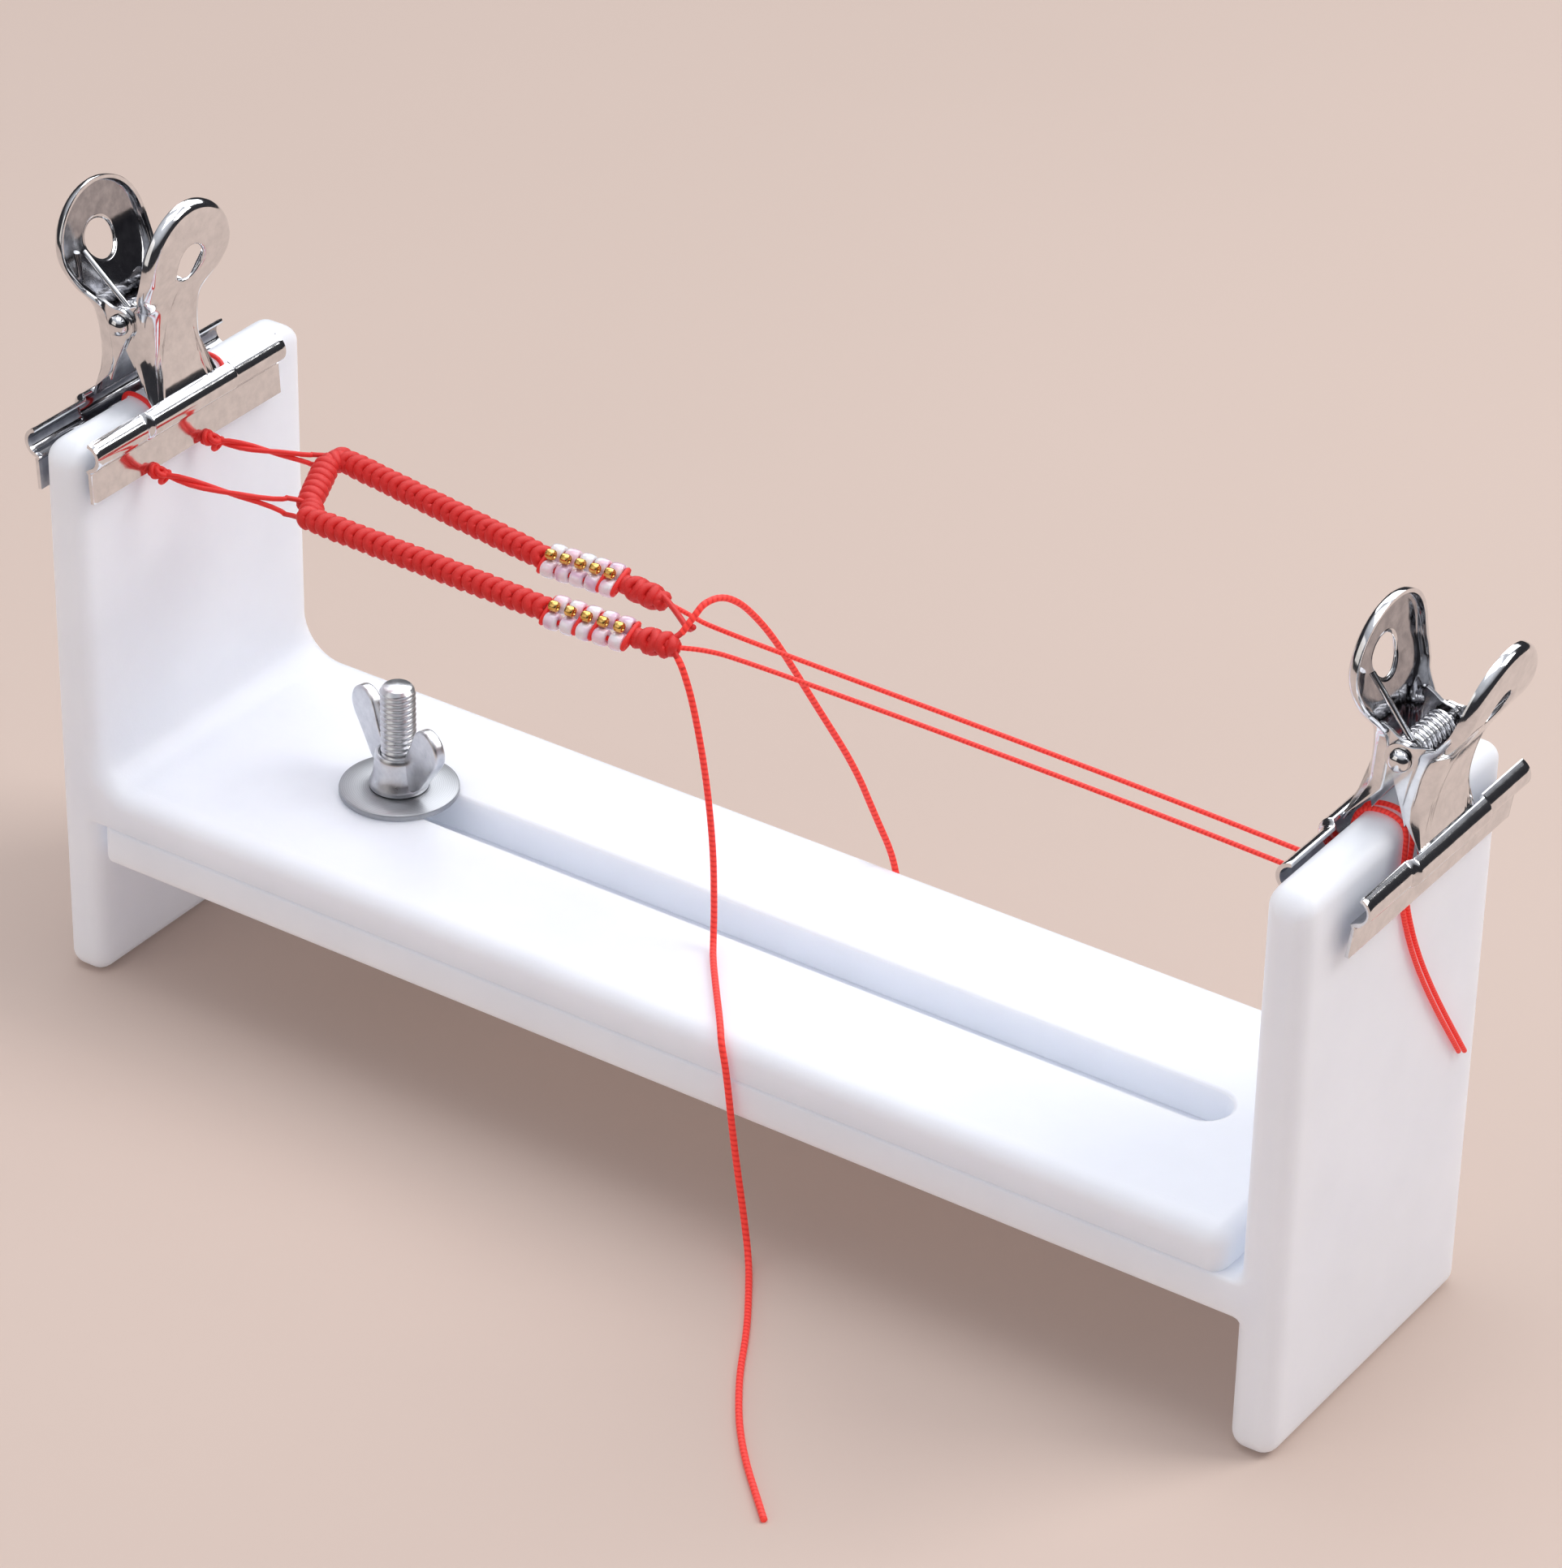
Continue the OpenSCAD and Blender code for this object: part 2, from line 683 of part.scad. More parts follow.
core_front_route = [
    [105.6, -6.2, work_z], [109, -4.6, work_z], [114, -3.7, work_z], [150, -3.6, work_z],
    [inner_right - 33, -3.6, work_z - 0.5], [inner_right - 0.2, -3.6, work_z - 1.6]
];
core_back_route = [
    [96, 4, work_z], [101, 3, work_z], [106, 1.8, work_z], [150, 1.3, work_z],
    [inner_right - 33, 1.1, work_z - 0.5], [inner_right - 0.2, 1, work_z - 1.6]
];

module anchor_cord_front() {
    color(red) tube(cut_corners(anchor_front_route), core_d / 2);
}

module anchor_cord_back() {
    color(red) tube(cut_corners(anchor_back_route), core_d / 2);
}

module core_cord_front() {
    color(red) tube(cut_corners(core_front_route), core_d / 2);
}

module core_cord_back() {
    color(red) tube(cut_corners(core_back_route), core_d / 2);
}

// From the inner face of the right upright, up under the inner jaw, over the top,
// down under the outer jaw and out as a tail
function tail_route(y, y_top, y_out, end) = [
    [inner_right - 0.45, y, work_z - 1], [inner_right - 0.45, y, work_z + 0.5],
    [inner_right - 0.5, y_top - 1, height - 5], [inner_right - 0.3, y_top - 0.6, height - 1.2],
    [inner_right + 1.2, y_top - 0.2, height + 0.2], [right_x, y_top, over_top],
    [outer_right - 1.2, y_top - 0.2, height + 0.2], [outer_right + 0.3, y_top - 0.6, height - 1.2],
    [outer_right + 0.5, y_top - 1, height - 5], [outer_right + 0.45, y_out, height - 9.5],
    [outer_right + 0.45, y_out + 0.6, height - 14], [outer_right + 0.6, y_out + 5, height - 24.6],
    [outer_right + 0.6, y_out + 12.7, height - 37], end
];

tail_front_route = tail_route(-3.6, -1.2, -2.5, [outer_right + 0.6, 21, height - 52]);
tail_back_route = tail_route(1, 0.8, -1.1, [outer_right + 0.6, 23, height - 53]);

module tail_cord_front() {
    color(red) tube(cut_corners(tail_front_route), core_d / 2);
}

module tail_cord_back() {
    color(red) tube(cut_corners(tail_back_route), core_d / 2);
}

hanging_route = [
    [105.8, -7.2, work_z - 1.3], [107, -7.4, work_z - 2.9], [109, -7.4, work_z - 8.5],
    [111.4, -7.2, work_z - 20.5], [113, -7.2, deck_z + 17.5], [113.6, -7.6, deck_z + 6.5],
    [114.2, -8.6, deck_z + 1.2], [116.5, -12, deck_z + 0.6], [122, -19, deck_z + 0.7],
    [128.4, -27, deck_z + 0.9], [130.5, -29.8, deck_z - 0.1], [131.6, -29.8, deck_z - 5.5],
    [133.4, -30.2, 20], [136.2, -31, 7], [138.6, -33, 0.9], [143, -39.4, 0.6], [148.6, -48, 0.6],
    [154.6, -59, 0.6], [163.6, -71.6, 0.6], [177, -84.6, 0.6]
];
looped_route = [
    [104.9, -4.9, work_z + 1.8], [105.4, -4.2, work_z + 2.9], [106, -2.8, work_z + 4.5],
    [106.4, -1, work_z + 5.9], [107.6, 2, work_z + 6.1], [108.8, 5, work_z + 4.1],
    [109.6, 8, work_z + 0.7], [111, 11, work_z - 3.9], [112.6, 14, work_z - 9.9],
    [115.4, 18, work_z - 19.1], [119.4, 23, work_z - 30.9], [121.6, 26.4, deck_z + 9.5],
    [123.6, 29.2, deck_z + 0.9], [124.4, 30, deck_z - 7.5], [124.8, 30.6, 16],
    [125.2, 31.4, 4], [126, 33, 0.8], [129, 38, 0.6], [137, 46, 0.6], [150, 53, 0.6], [166, 57, 0.6]
];

module hanging_cord() {
    color(red) tube(smooth(hanging_route), cord_d / 2);
}

module looped_cord() {
    color(red) tube(smooth(looped_route), cord_d / 2);
}

left_frame();
right_frame();
clamp_bolt();
washer();
wing_nut();
left_clip_outer_leaf();
left_clip_inner_leaf();
left_clip_pin();
left_clip_spring();
right_clip_outer_leaf();
right_clip_inner_leaf();
right_clip_pin();
right_clip_spring();
braid_bar();
braid_front_leg();
braid_back_leg();
pale_beads_front();
pale_beads_back();
gold_beads_front();
gold_beads_back();
knot_front();
knot_back();
anchor_cord_front();
anchor_cord_back();
core_cord_front();
core_cord_back();
tail_cord_front();
tail_cord_back();
hanging_cord();
looped_cord();
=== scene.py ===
import bpy
import math
import numpy as np
from mathutils import Matrix, Vector


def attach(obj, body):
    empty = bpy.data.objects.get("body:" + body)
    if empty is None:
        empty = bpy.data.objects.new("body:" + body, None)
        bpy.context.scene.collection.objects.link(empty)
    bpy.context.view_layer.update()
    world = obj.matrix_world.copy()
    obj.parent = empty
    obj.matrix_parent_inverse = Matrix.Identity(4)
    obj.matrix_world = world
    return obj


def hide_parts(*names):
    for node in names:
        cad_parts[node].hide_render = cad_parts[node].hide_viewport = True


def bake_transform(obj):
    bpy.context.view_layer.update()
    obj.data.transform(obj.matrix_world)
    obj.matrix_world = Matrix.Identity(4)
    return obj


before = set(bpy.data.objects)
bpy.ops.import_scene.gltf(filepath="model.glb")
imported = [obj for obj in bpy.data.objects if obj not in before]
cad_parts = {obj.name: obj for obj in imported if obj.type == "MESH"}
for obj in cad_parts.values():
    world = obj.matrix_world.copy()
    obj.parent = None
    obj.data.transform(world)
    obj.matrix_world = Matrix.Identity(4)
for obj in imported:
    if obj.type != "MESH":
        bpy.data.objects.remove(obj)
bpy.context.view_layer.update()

MM = 0.001

# Sizes in millimetres, the same as the part's
DEPTH, HEIGHT, HALF_T = 58.0, 100.0, 4.0
FOOT_H, PLATE_T = 23.5, 7.0
SEAM_Z = FOOT_H + PLATE_T
DECK_Z = SEAM_Z + PLATE_T
RIGHT_X = 227.0
UPPER_END, LOWER_START = 220.4, 4.6      # the plates' free ends
SLOT_END, SLOT_W = 199.9, 9.0
BOLT_X, BOLT_R = 45.0, 3.0
NECK_HALF, HOLE_HALF = 3.3, 3.4         # the bolt's square neck and its hole
WASHER_TOP = DECK_Z + 1.2
WORK_Z = 88.5

# ---------------------------------------------------------------- camera
cam_data = bpy.data.cameras.new("camera")
cam_data.sensor_width = 36.0
cam_data.lens = 139.25
cam_data.clip_end = 20.0
cam = bpy.data.objects.new("camera", cam_data)
bpy.context.scene.collection.objects.link(cam)
az, el, roll = math.radians(-33.805), math.radians(31.5605), math.radians(1.1536)
ahead = Vector((math.sin(az) * math.cos(el), math.cos(az) * math.cos(el), -math.sin(el)))
level = Vector((math.cos(az), -math.sin(az), 0))
upright = level.cross(ahead)
cam_x = math.cos(roll) * level + math.sin(roll) * upright
cam_y = -math.sin(roll) * level + math.cos(roll) * upright
turned = Matrix((cam_x, cam_y, -ahead)).transposed().to_4x4()
cam.matrix_world = Matrix.Translation(Vector((571.339, -672.959, 563.553)) * MM) @ turned
bpy.context.scene.camera = cam


# ---------------------------------------------------------------- mesh helpers
def obj_from(name, verts, faces, mat=None, smooth=True, uvs=None, angle=None):
    """A mesh object from points in millimetres."""
    me = bpy.data.meshes.new(name)
    me.from_pydata([tuple(float(c) * MM for c in v) for v in verts], [],
                   [tuple(int(i) for i in f) for f in faces])
    if uvs is not None:
        layer = me.uv_layers.new(name="UVMap")
        flat = np.array([uv for f in uvs for uv in f], dtype=np.float32).ravel()
        layer.data.foreach_set("uv", flat)
    me.validate()
    if smooth:
        me.shade_smooth()
    if angle is not None:
        me.set_sharp_from_angle(angle=math.radians(angle))
    if mat is not None:
        me.materials.append(mat)
    ob = bpy.data.objects.new(name, me)
    bpy.context.scene.collection.objects.link(ob)
    return ob


def join_parts(parts):
    """Several (verts, faces) as one."""
    verts, faces, base = [], [], 0
    for v, f in parts:
        verts.extend([tuple(p) for p in v])
        faces.extend([tuple(i + base for i in q) for q in f])
        base += len(v)
    return verts, faces


def circle(r, z, steps):
    """Points round the Z axis."""
    turns = [2 * math.pi * k / steps for k in range(steps)]
    return [(r * math.cos(q), r * math.sin(q), z) for q in turns]


def skin(rings):
    """Joins equal rings of points into one closed skin."""
    sides = len(rings[0])
    verts = [p for r in rings for p in r]
    faces = []
    for i in range(len(rings) - 1):
        for k in range(sides):
            a, b = i * sides + k, i * sides + (k + 1) % sides
            faces.append((a, b, b + sides, a + sides))
    faces.append(tuple(range(sides - 1, -1, -1)))
    n = (len(rings) - 1) * sides
    faces.append(tuple(n + k for k in range(sides)))
    return verts, faces


def lathe(profile, steps=64):
    """Turns [(radius, z)] round Z. A radius of 0 closes the end."""
    verts, faces, rows = [], [], []
    for r, z in profile:
        if r < 1e-6:
            rows.append([len(verts)])
            verts.append((0, 0, z))
        else:
            rows.append(list(range(len(verts), len(verts) + steps)))
            verts.extend(circle(r, z, steps))
    for a, b in zip(rows[:-1], rows[1:]):
        for k in range(steps):
            k2 = (k + 1) % steps
            if len(a) == 1 and len(b) > 1:
                faces.append((a[0], b[k2], b[k]))
            elif len(b) == 1 and len(a) > 1:
                faces.append((a[k], a[k2], b[0]))
            elif len(a) > 1:
                faces.append((a[k], a[k2], b[k2], b[k]))
    return verts, faces


def placed(part, m):
    """A part moved by a matrix, its faces turned over if the matrix mirrors."""
    v, f = part
    out = [tuple(m @ Vector(p)) for p in v]
    if m.determinant() < 0:
        f = [tuple(reversed(q)) for q in f]
    return out, f


def cut_corners(p):
    """One round of corner cutting, with the ends kept."""
    out = [p[0]]
    for a, b in zip(p[:-1], p[1:]):
        out.append(0.75 * a + 0.25 * b)
        out.append(0.25 * a + 0.75 * b)
    out.append(p[-1])
    return out


def smooth_path(points, cuts=3):
    p = [np.array(q, dtype=float) for q in points]
    for _ in range(cuts):
        p = cut_corners(p)
    return np.array(p)


def frames_along(p):
    """Tangent, normal and binormal at each point of a path, carried along without twist."""
    n = len(p)
    t = np.array([p[min(i + 1, n - 1)] - p[max(i - 1, 0)] for i in range(n)])
    t /= np.linalg.norm(t, axis=1)[:, None] + 1e-12
    start = np.array([0, 0, 1.0]) if abs(t[0][2]) < 0.8 else np.array([1.0, 0, 0])
    nrm = []
    cur = start - start.dot(t[0]) * t[0]
    for i in range(n):
        cur = cur - cur.dot(t[i]) * t[i]
        cur /= np.linalg.norm(cur)
        nrm.append(cur.copy())
    nrm = np.array(nrm)
    return t, nrm, np.cross(t, nrm)


def tube_part(p, r, sides=12):
    """A round tube along a path."""
    p = np.array(p, dtype=float)
    _, n, b = frames_along(p)
    rings = []
    for i in range(len(p)):
        rings.append([p[i] + r * (x * n[i] + y * b[i]) for x, y, _ in circle(1.0, 0, sides)])
    return skin(rings)


def tube_obj(name, p, r, mat, sides=12):
    """A cord with a UV map: u runs round it, v along it in millimetres."""
    verts, faces = tube_part(p, r, sides)
    p = np.array(p, dtype=float)
    run = np.concatenate([[0], np.cumsum(np.linalg.norm(np.diff(p, axis=0), axis=1))])
    uvs = []
    for i in range(len(p) - 1):
        for k in range(sides):
            u0, u1 = k / sides, (k + 1) / sides
            uvs.append([(u0, run[i]), (u1, run[i]), (u1, run[i + 1]), (u0, run[i + 1])])
    uvs.append([(0.5, 0.0)] * sides)
    uvs.append([(0.5, 0.0)] * sides)
    return obj_from(name, verts, faces, mat, uvs=uvs)


# ---------------------------------------------------------------- materials
def new_mat(name):
    m = bpy.data.materials.new(name)
    m.use_nodes = True
    nt = m.node_tree
    return m, nt, nt.nodes["Principled BSDF"]


def noise(nt, scale, detail=4.0, rough=0.5, mapping=None):
    tc = nt.nodes.new("ShaderNodeTexCoord")
    src = tc.outputs["Object"]
    if mapping is not None:
        mp = nt.nodes.new("ShaderNodeMapping")
        mp.inputs["Scale"].default_value = mapping
        nt.links.new(src, mp.inputs["Vector"])
        src = mp.outputs["Vector"]
    n = nt.nodes.new("ShaderNodeTexNoise")
    n.inputs["Scale"].default_value = scale
    n.inputs["Detail"].default_value = detail
    n.inputs["Roughness"].default_value = rough
    nt.links.new(src, n.inputs["Vector"])
    return n


def ramp(nt, fac, stops):
    r = nt.nodes.new("ShaderNodeValToRGB")
    cr = r.color_ramp
    cr.elements[0].position, cr.elements[0].color = stops[0][0], (*stops[0][1], 1)
    cr.elements[1].position, cr.elements[1].color = stops[-1][0], (*stops[-1][1], 1)
    for pos, col in stops[1:-1]:
        e = cr.elements.new(pos)
        e.color = (*col, 1)
    nt.links.new(fac, r.inputs["Fac"])
    return r


def bump(nt, height, strength, distance, normal=None):
    b = nt.nodes.new("ShaderNodeBump")
    b.inputs["Strength"].default_value = strength
    b.inputs["Distance"].default_value = distance
    nt.links.new(height, b.inputs["Height"])
    if normal is not None:
        nt.links.new(normal, b.inputs["Normal"])
    return b


def maprange(nt, fac, lo, hi):
    m = nt.nodes.new("ShaderNodeMapRange")
    m.inputs["To Min"].default_value = lo
    m.inputs["To Max"].default_value = hi
    nt.links.new(fac, m.inputs["Value"])
    return m


def calc(nt, operation, first, second):
    """A math node on a socket and on another socket or a number."""
    m = nt.nodes.new("ShaderNodeMath")
    m.operation = operation
    nt.links.new(first, m.inputs[0])
    if isinstance(second, float):
        m.inputs[1].default_value = second
    else:
        nt.links.new(second, m.inputs[1])
    return m


def plastic_material():
    """White plastic: fine matt grain, faint cloudiness, and a faint bluish glow that is painted light
    lifting its shaded sides.
    """
    m, nt, p = new_mat("white_plastic")
    cloud = noise(nt, 60.0, 3.0, 0.55)
    col = ramp(nt, cloud.outputs["Fac"], [(0.3, (0.775, 0.80, 0.85)), (0.7, (0.81, 0.835, 0.885))])
    nt.links.new(col.outputs["Color"], p.inputs["Base Color"])
    grain = noise(nt, 2600.0, 2.0, 0.6)
    rr = maprange(nt, cloud.outputs["Fac"], 0.34, 0.46)
    nt.links.new(rr.outputs["Result"], p.inputs["Roughness"])
    wave = noise(nt, 220.0, 2.0, 0.5)
    b1 = bump(nt, wave.outputs["Fac"], 0.12, 0.0003)
    b2 = bump(nt, grain.outputs["Fac"], 0.16, 0.00008, b1.outputs["Normal"])
    nt.links.new(b2.outputs["Normal"], p.inputs["Normal"])
    p.inputs["Subsurface Weight"].default_value = 0.7
    p.inputs["Subsurface Radius"].default_value = (1.0, 0.97, 1.03)
    p.inputs["Subsurface Scale"].default_value = 0.007
    p.inputs["IOR"].default_value = 1.47
    # Painted light: a faint bluish glow that brightens the shaded sides and the slot
    p.inputs["Emission Color"].default_value = (0.80, 0.86, 1.0, 1)
    p.inputs["Emission Strength"].default_value = 0.10
    return m


def nickel_material(name, dark, light):
    """Bright plated sheet with faint handling marks."""
    m, nt, p = new_mat(name)
    p.inputs["Metallic"].default_value = 1.0
    spots = noise(nt, 500.0, 5.0, 0.6)
    col = ramp(nt, spots.outputs["Fac"], [(0.35, dark), (0.65, light)])
    nt.links.new(col.outputs["Color"], p.inputs["Base Color"])
    smear = noise(nt, 900.0, 4.0, 0.65, mapping=(1.0, 6.0, 1.0))
    rr = maprange(nt, smear.outputs["Fac"], 0.05, 0.15)
    nt.links.new(rr.outputs["Result"], p.inputs["Roughness"])
    dents = noise(nt, 160.0, 2.0, 0.5)
    b1 = bump(nt, dents.outputs["Fac"], 0.12, 0.0006)
    b2 = bump(nt, smear.outputs["Fac"], 0.05, 0.00005, b1.outputs["Normal"])
    nt.links.new(b2.outputs["Normal"], p.inputs["Normal"])
    return m


def zinc_material():
    """Bright zinc on the bolt and wing nut, with a slight cast texture."""
    m, nt, p = new_mat("zinc_plate")
    p.inputs["Metallic"].default_value = 1.0
    spots = noise(nt, 700.0, 5.0, 0.6)
    col = ramp(nt, spots.outputs["Fac"], [(0.3, (0.60, 0.61, 0.635)), (0.7, (0.74, 0.75, 0.77))])
    nt.links.new(col.outputs["Color"], p.inputs["Base Color"])
    rr = maprange(nt, spots.outputs["Fac"], 0.22, 0.40)
    nt.links.new(rr.outputs["Result"], p.inputs["Roughness"])
    b1 = bump(nt, spots.outputs["Fac"], 0.25, 0.00012)
    nt.links.new(b1.outputs["Normal"], p.inputs["Normal"])
    return m


def washer_material():
    """Washer face with round turning marks."""
    m, nt, p = new_mat("washer_plate")
    p.inputs["Metallic"].default_value = 1.0
    tc = nt.nodes.new("ShaderNodeTexCoord")
    mp = nt.nodes.new("ShaderNodeMapping")
    mp.inputs["Location"].default_value = (-BOLT_X * MM, 0, 0)
    nt.links.new(tc.outputs["Object"], mp.inputs["Vector"])
    w = nt.nodes.new("ShaderNodeTexWave")
    w.wave_type = "RINGS"
    w.rings_direction = "Z"
    w.inputs["Scale"].default_value = 900.0
    w.inputs["Distortion"].default_value = 2.5
    w.inputs["Detail"].default_value = 3.0
    nt.links.new(mp.outputs["Vector"], w.inputs["Vector"])
    col = ramp(nt, w.outputs["Fac"], [(0.2, (0.34, 0.35, 0.37)), (0.8, (0.42, 0.43, 0.45))])
    nt.links.new(col.outputs["Color"], p.inputs["Base Color"])
    rr = maprange(nt, w.outputs["Fac"], 0.36, 0.50)
    nt.links.new(rr.outputs["Result"], p.inputs["Roughness"])
    b1 = bump(nt, w.outputs["Fac"], 0.12, 0.00006)
    nt.links.new(b1.outputs["Normal"], p.inputs["Normal"])
    return m


def cord_material(name, twist, scale_v, dark=(0.62, 0.014, 0.012), light=(1.0, 0.060, 0.045), painted_glow=0.22):
    """Waxed thread: slanting strands across the UV map, fibre noise over them. The strands are painted
    darker at their edges, as shade in the grooves between them, and lighter on their crests, as a painted
    highlight.

    There are twist strands round the cord and scale_v along each millimetre. The cord also glows in its own
    colour, as painted light that brightens it.
    """
    m, nt, p = new_mat(name)
    tc = nt.nodes.new("ShaderNodeTexCoord")
    sep = nt.nodes.new("ShaderNodeSeparateXYZ")
    nt.links.new(tc.outputs["UV"], sep.inputs["Vector"])
    round_it = calc(nt, "MULTIPLY", sep.outputs["X"], twist)
    along_it = calc(nt, "MULTIPLY", sep.outputs["Y"], scale_v)
    both = calc(nt, "ADD", round_it.outputs["Value"], along_it.outputs["Value"])
    fold = calc(nt, "PINGPONG", both.outputs["Value"], 0.5)
    strands = calc(nt, "MULTIPLY", fold.outputs["Value"], 2.0)
    fibre = noise(nt, 5200.0, 3.0, 0.6)
    mx = nt.nodes.new("ShaderNodeMix")
    mx.inputs["Factor"].default_value = 0.35
    nt.links.new(strands.outputs["Value"], mx.inputs["A"])
    nt.links.new(fibre.outputs["Fac"], mx.inputs["B"])
    # Painted shade in the grooves between strands and a painted highlight on their crests; the fibre noise
    # is the thread's own tone
    col = ramp(nt, mx.outputs["Result"], [(0.1, dark), (0.75, light)])
    nt.links.new(col.outputs["Color"], p.inputs["Base Color"])
    p.inputs["Roughness"].default_value = 0.58
    p.inputs["Sheen Weight"].default_value = 0.06
    p.inputs["Sheen Roughness"].default_value = 0.5
    p.inputs["Sheen Tint"].default_value = (1.0, 0.45, 0.4, 1)
    # Painted light: the cord glows in its own colour to look brighter
    nt.links.new(col.outputs["Color"], p.inputs["Emission Color"])
    p.inputs["Emission Strength"].default_value = painted_glow
    b1 = bump(nt, mx.outputs["Result"], 0.6, 0.00016)
    nt.links.new(b1.outputs["Normal"], p.inputs["Normal"])
    return m


def bead_material():
    """Pearly seed beads, white to pink to lilac from one bead to the next."""
    m, nt, p = new_mat("pale_beads")
    tint = noise(nt, 230.0, 0.0, 0.0)
    col = ramp(nt, tint.outputs["Fac"], [(0.36, (0.86, 0.84, 0.88)), (0.48, (0.90, 0.62, 0.72)),
                                         (0.58, (0.72, 0.50, 0.66)), (0.66, (0.88, 0.80, 0.86))])
    nt.links.new(col.outputs["Color"], p.inputs["Base Color"])
    fine = noise(nt, 2400.0, 3.0, 0.5)
    rr = maprange(nt, fine.outputs["Fac"], 0.10, 0.28)
    nt.links.new(rr.outputs["Result"], p.inputs["Roughness"])
    p.inputs["Subsurface Weight"].default_value = 0.25
    p.inputs["Subsurface Radius"].default_value = (0.001, 0.0006, 0.0007)
    p.inputs["Coat Weight"].default_value = 0.7
    p.inputs["Coat Roughness"].default_value = 0.06
    b1 = bump(nt, fine.outputs["Fac"], 0.1, 0.0001)
    nt.links.new(b1.outputs["Normal"], p.inputs["Normal"])
    return m


def gold_material():
    m, nt, p = new_mat("gold_beads")
    p.inputs["Metallic"].default_value = 1.0
    spots = noise(nt, 1400.0, 3.0, 0.5)
    col = ramp(nt, spots.outputs["Fac"], [(0.35, (0.62, 0.33, 0.07)), (0.65, (0.92, 0.60, 0.20))])
    nt.links.new(col.outputs["Color"], p.inputs["Base Color"])
    rr = maprange(nt, spots.outputs["Fac"], 0.14, 0.32)
    nt.links.new(rr.outputs["Result"], p.inputs["Roughness"])
    b1 = bump(nt, spots.outputs["Fac"], 0.2, 0.0001)
    nt.links.new(b1.outputs["Normal"], p.inputs["Normal"])
    return m


def floor_material():
    m, nt, p = new_mat("backdrop_paper")
    cloud = noise(nt, 3.0, 3.0, 0.5)
    col = ramp(nt, cloud.outputs["Fac"], [(0.3, (0.64, 0.515, 0.445)), (0.7, (0.665, 0.535, 0.465))])
    nt.links.new(col.outputs["Color"], p.inputs["Base Color"])
    p.inputs["Roughness"].default_value = 0.85
    p.inputs["Specular IOR Level"].default_value = 0.15
    grain = noise(nt, 900.0, 3.0, 0.6)
    b1 = bump(nt, grain.outputs["Fac"], 0.05, 0.0002)
    nt.links.new(b1.outputs["Normal"], p.inputs["Normal"])
    return m


PLASTIC = plastic_material()
NICKEL = nickel_material("nickel_plate", (0.70, 0.70, 0.71), (0.82, 0.82, 0.83))
# A darker copy of the plate for the leaves' inner faces: painted shade where the two leaves face each other
NICKEL_SHADED_INSIDE = nickel_material("nickel_inside_painted_shade", (0.30, 0.30, 0.32), (0.44, 0.44, 0.46))
ZINC = zinc_material()
WASHER = washer_material()
# The red cords glow a little in their own colour as painted light, the knotted one least
THREAD = cord_material("red_thread", 1.0, 1.1)
KNOTTED = cord_material("red_knotted", 2.0, 0.9, (0.60, 0.010, 0.009), (0.98, 0.062, 0.048), painted_glow=0.05)
CORE = cord_material("red_core", 1.0, 1.4)
CORD = cord_material("red_cord", 1.0, 0.0)
BEADS = bead_material()
GOLD = gold_material()

# ---------------------------------------------------------------- cords, placed first
# Routes in millimetres, the same as the part's
ANCHOR_FRONT = [
    (-4.5, -7, 89.5), (-4.5, -7.4, 95), (-4.3, -7.8, 98.8), (-2.8, -8.2, 100.2), (0, -8.8, 100.6),
    (2.8, -9.4, 100.2), (4.3, -10, 98.8), (4.5, -11, 95), (4.5, -12.4, 90.7), (5, -12.9, 89.4),
    (7, -13, 90.7), (16, -11, 89.7), (28.2, -6.6, 88.5)]
ANCHOR_BACK = [
    (-4.5, 6, 89.5), (-4.5, 7.2, 95), (-4.3, 8.6, 98.8), (-2.8, 9.4, 100.2), (0, 9.6, 100.6),
    (2.8, 9, 100.2), (4.3, 7.4, 98.8), (4.5, 4.6, 95), (4.5, 1.2, 90.7), (5, 0.5, 89.4),
    (7, 0.6, 90.9), (14, 3.9, 89.8), (21.8, 8.2, 88.5)]
LIP_POINT = 10      # the point of an anchor's route where it leaves the clip's lip
CORE_FRONT = [
    (105.6, -6.2, 88.5), (109, -4.6, 88.5), (114, -3.7, 88.5), (150, -3.6, 88.5), (190, -3.6, 88),
    (222.8, -3.6, 86.9)]
CORE_BACK = [
    (96, 4, 88.5), (101, 3, 88.5), (106, 1.8, 88.5), (150, 1.3, 88.5), (190, 1.1, 88), (222.8, 1, 86.9)]


def tail_route(y, y_top, y_out, end):
    """Up under the right clip, over the upright's top and down its outer side."""
    return [(222.55, y, 87.5), (222.55, y, 89), (222.5, y_top - 1, 95), (222.7, y_top - 0.6, 98.8),
            (224.2, y_top - 0.2, 100.2), (227, y_top, 100.6), (229.8, y_top - 0.2, 100.2),
            (231.3, y_top - 0.6, 98.8), (231.5, y_top - 1, 95), (231.45, y_out, 90.5),
            (231.45, y_out + 0.6, 86), (231.6, y_out + 5, 75.4), (231.6, y_out + 12.7, 63), end]


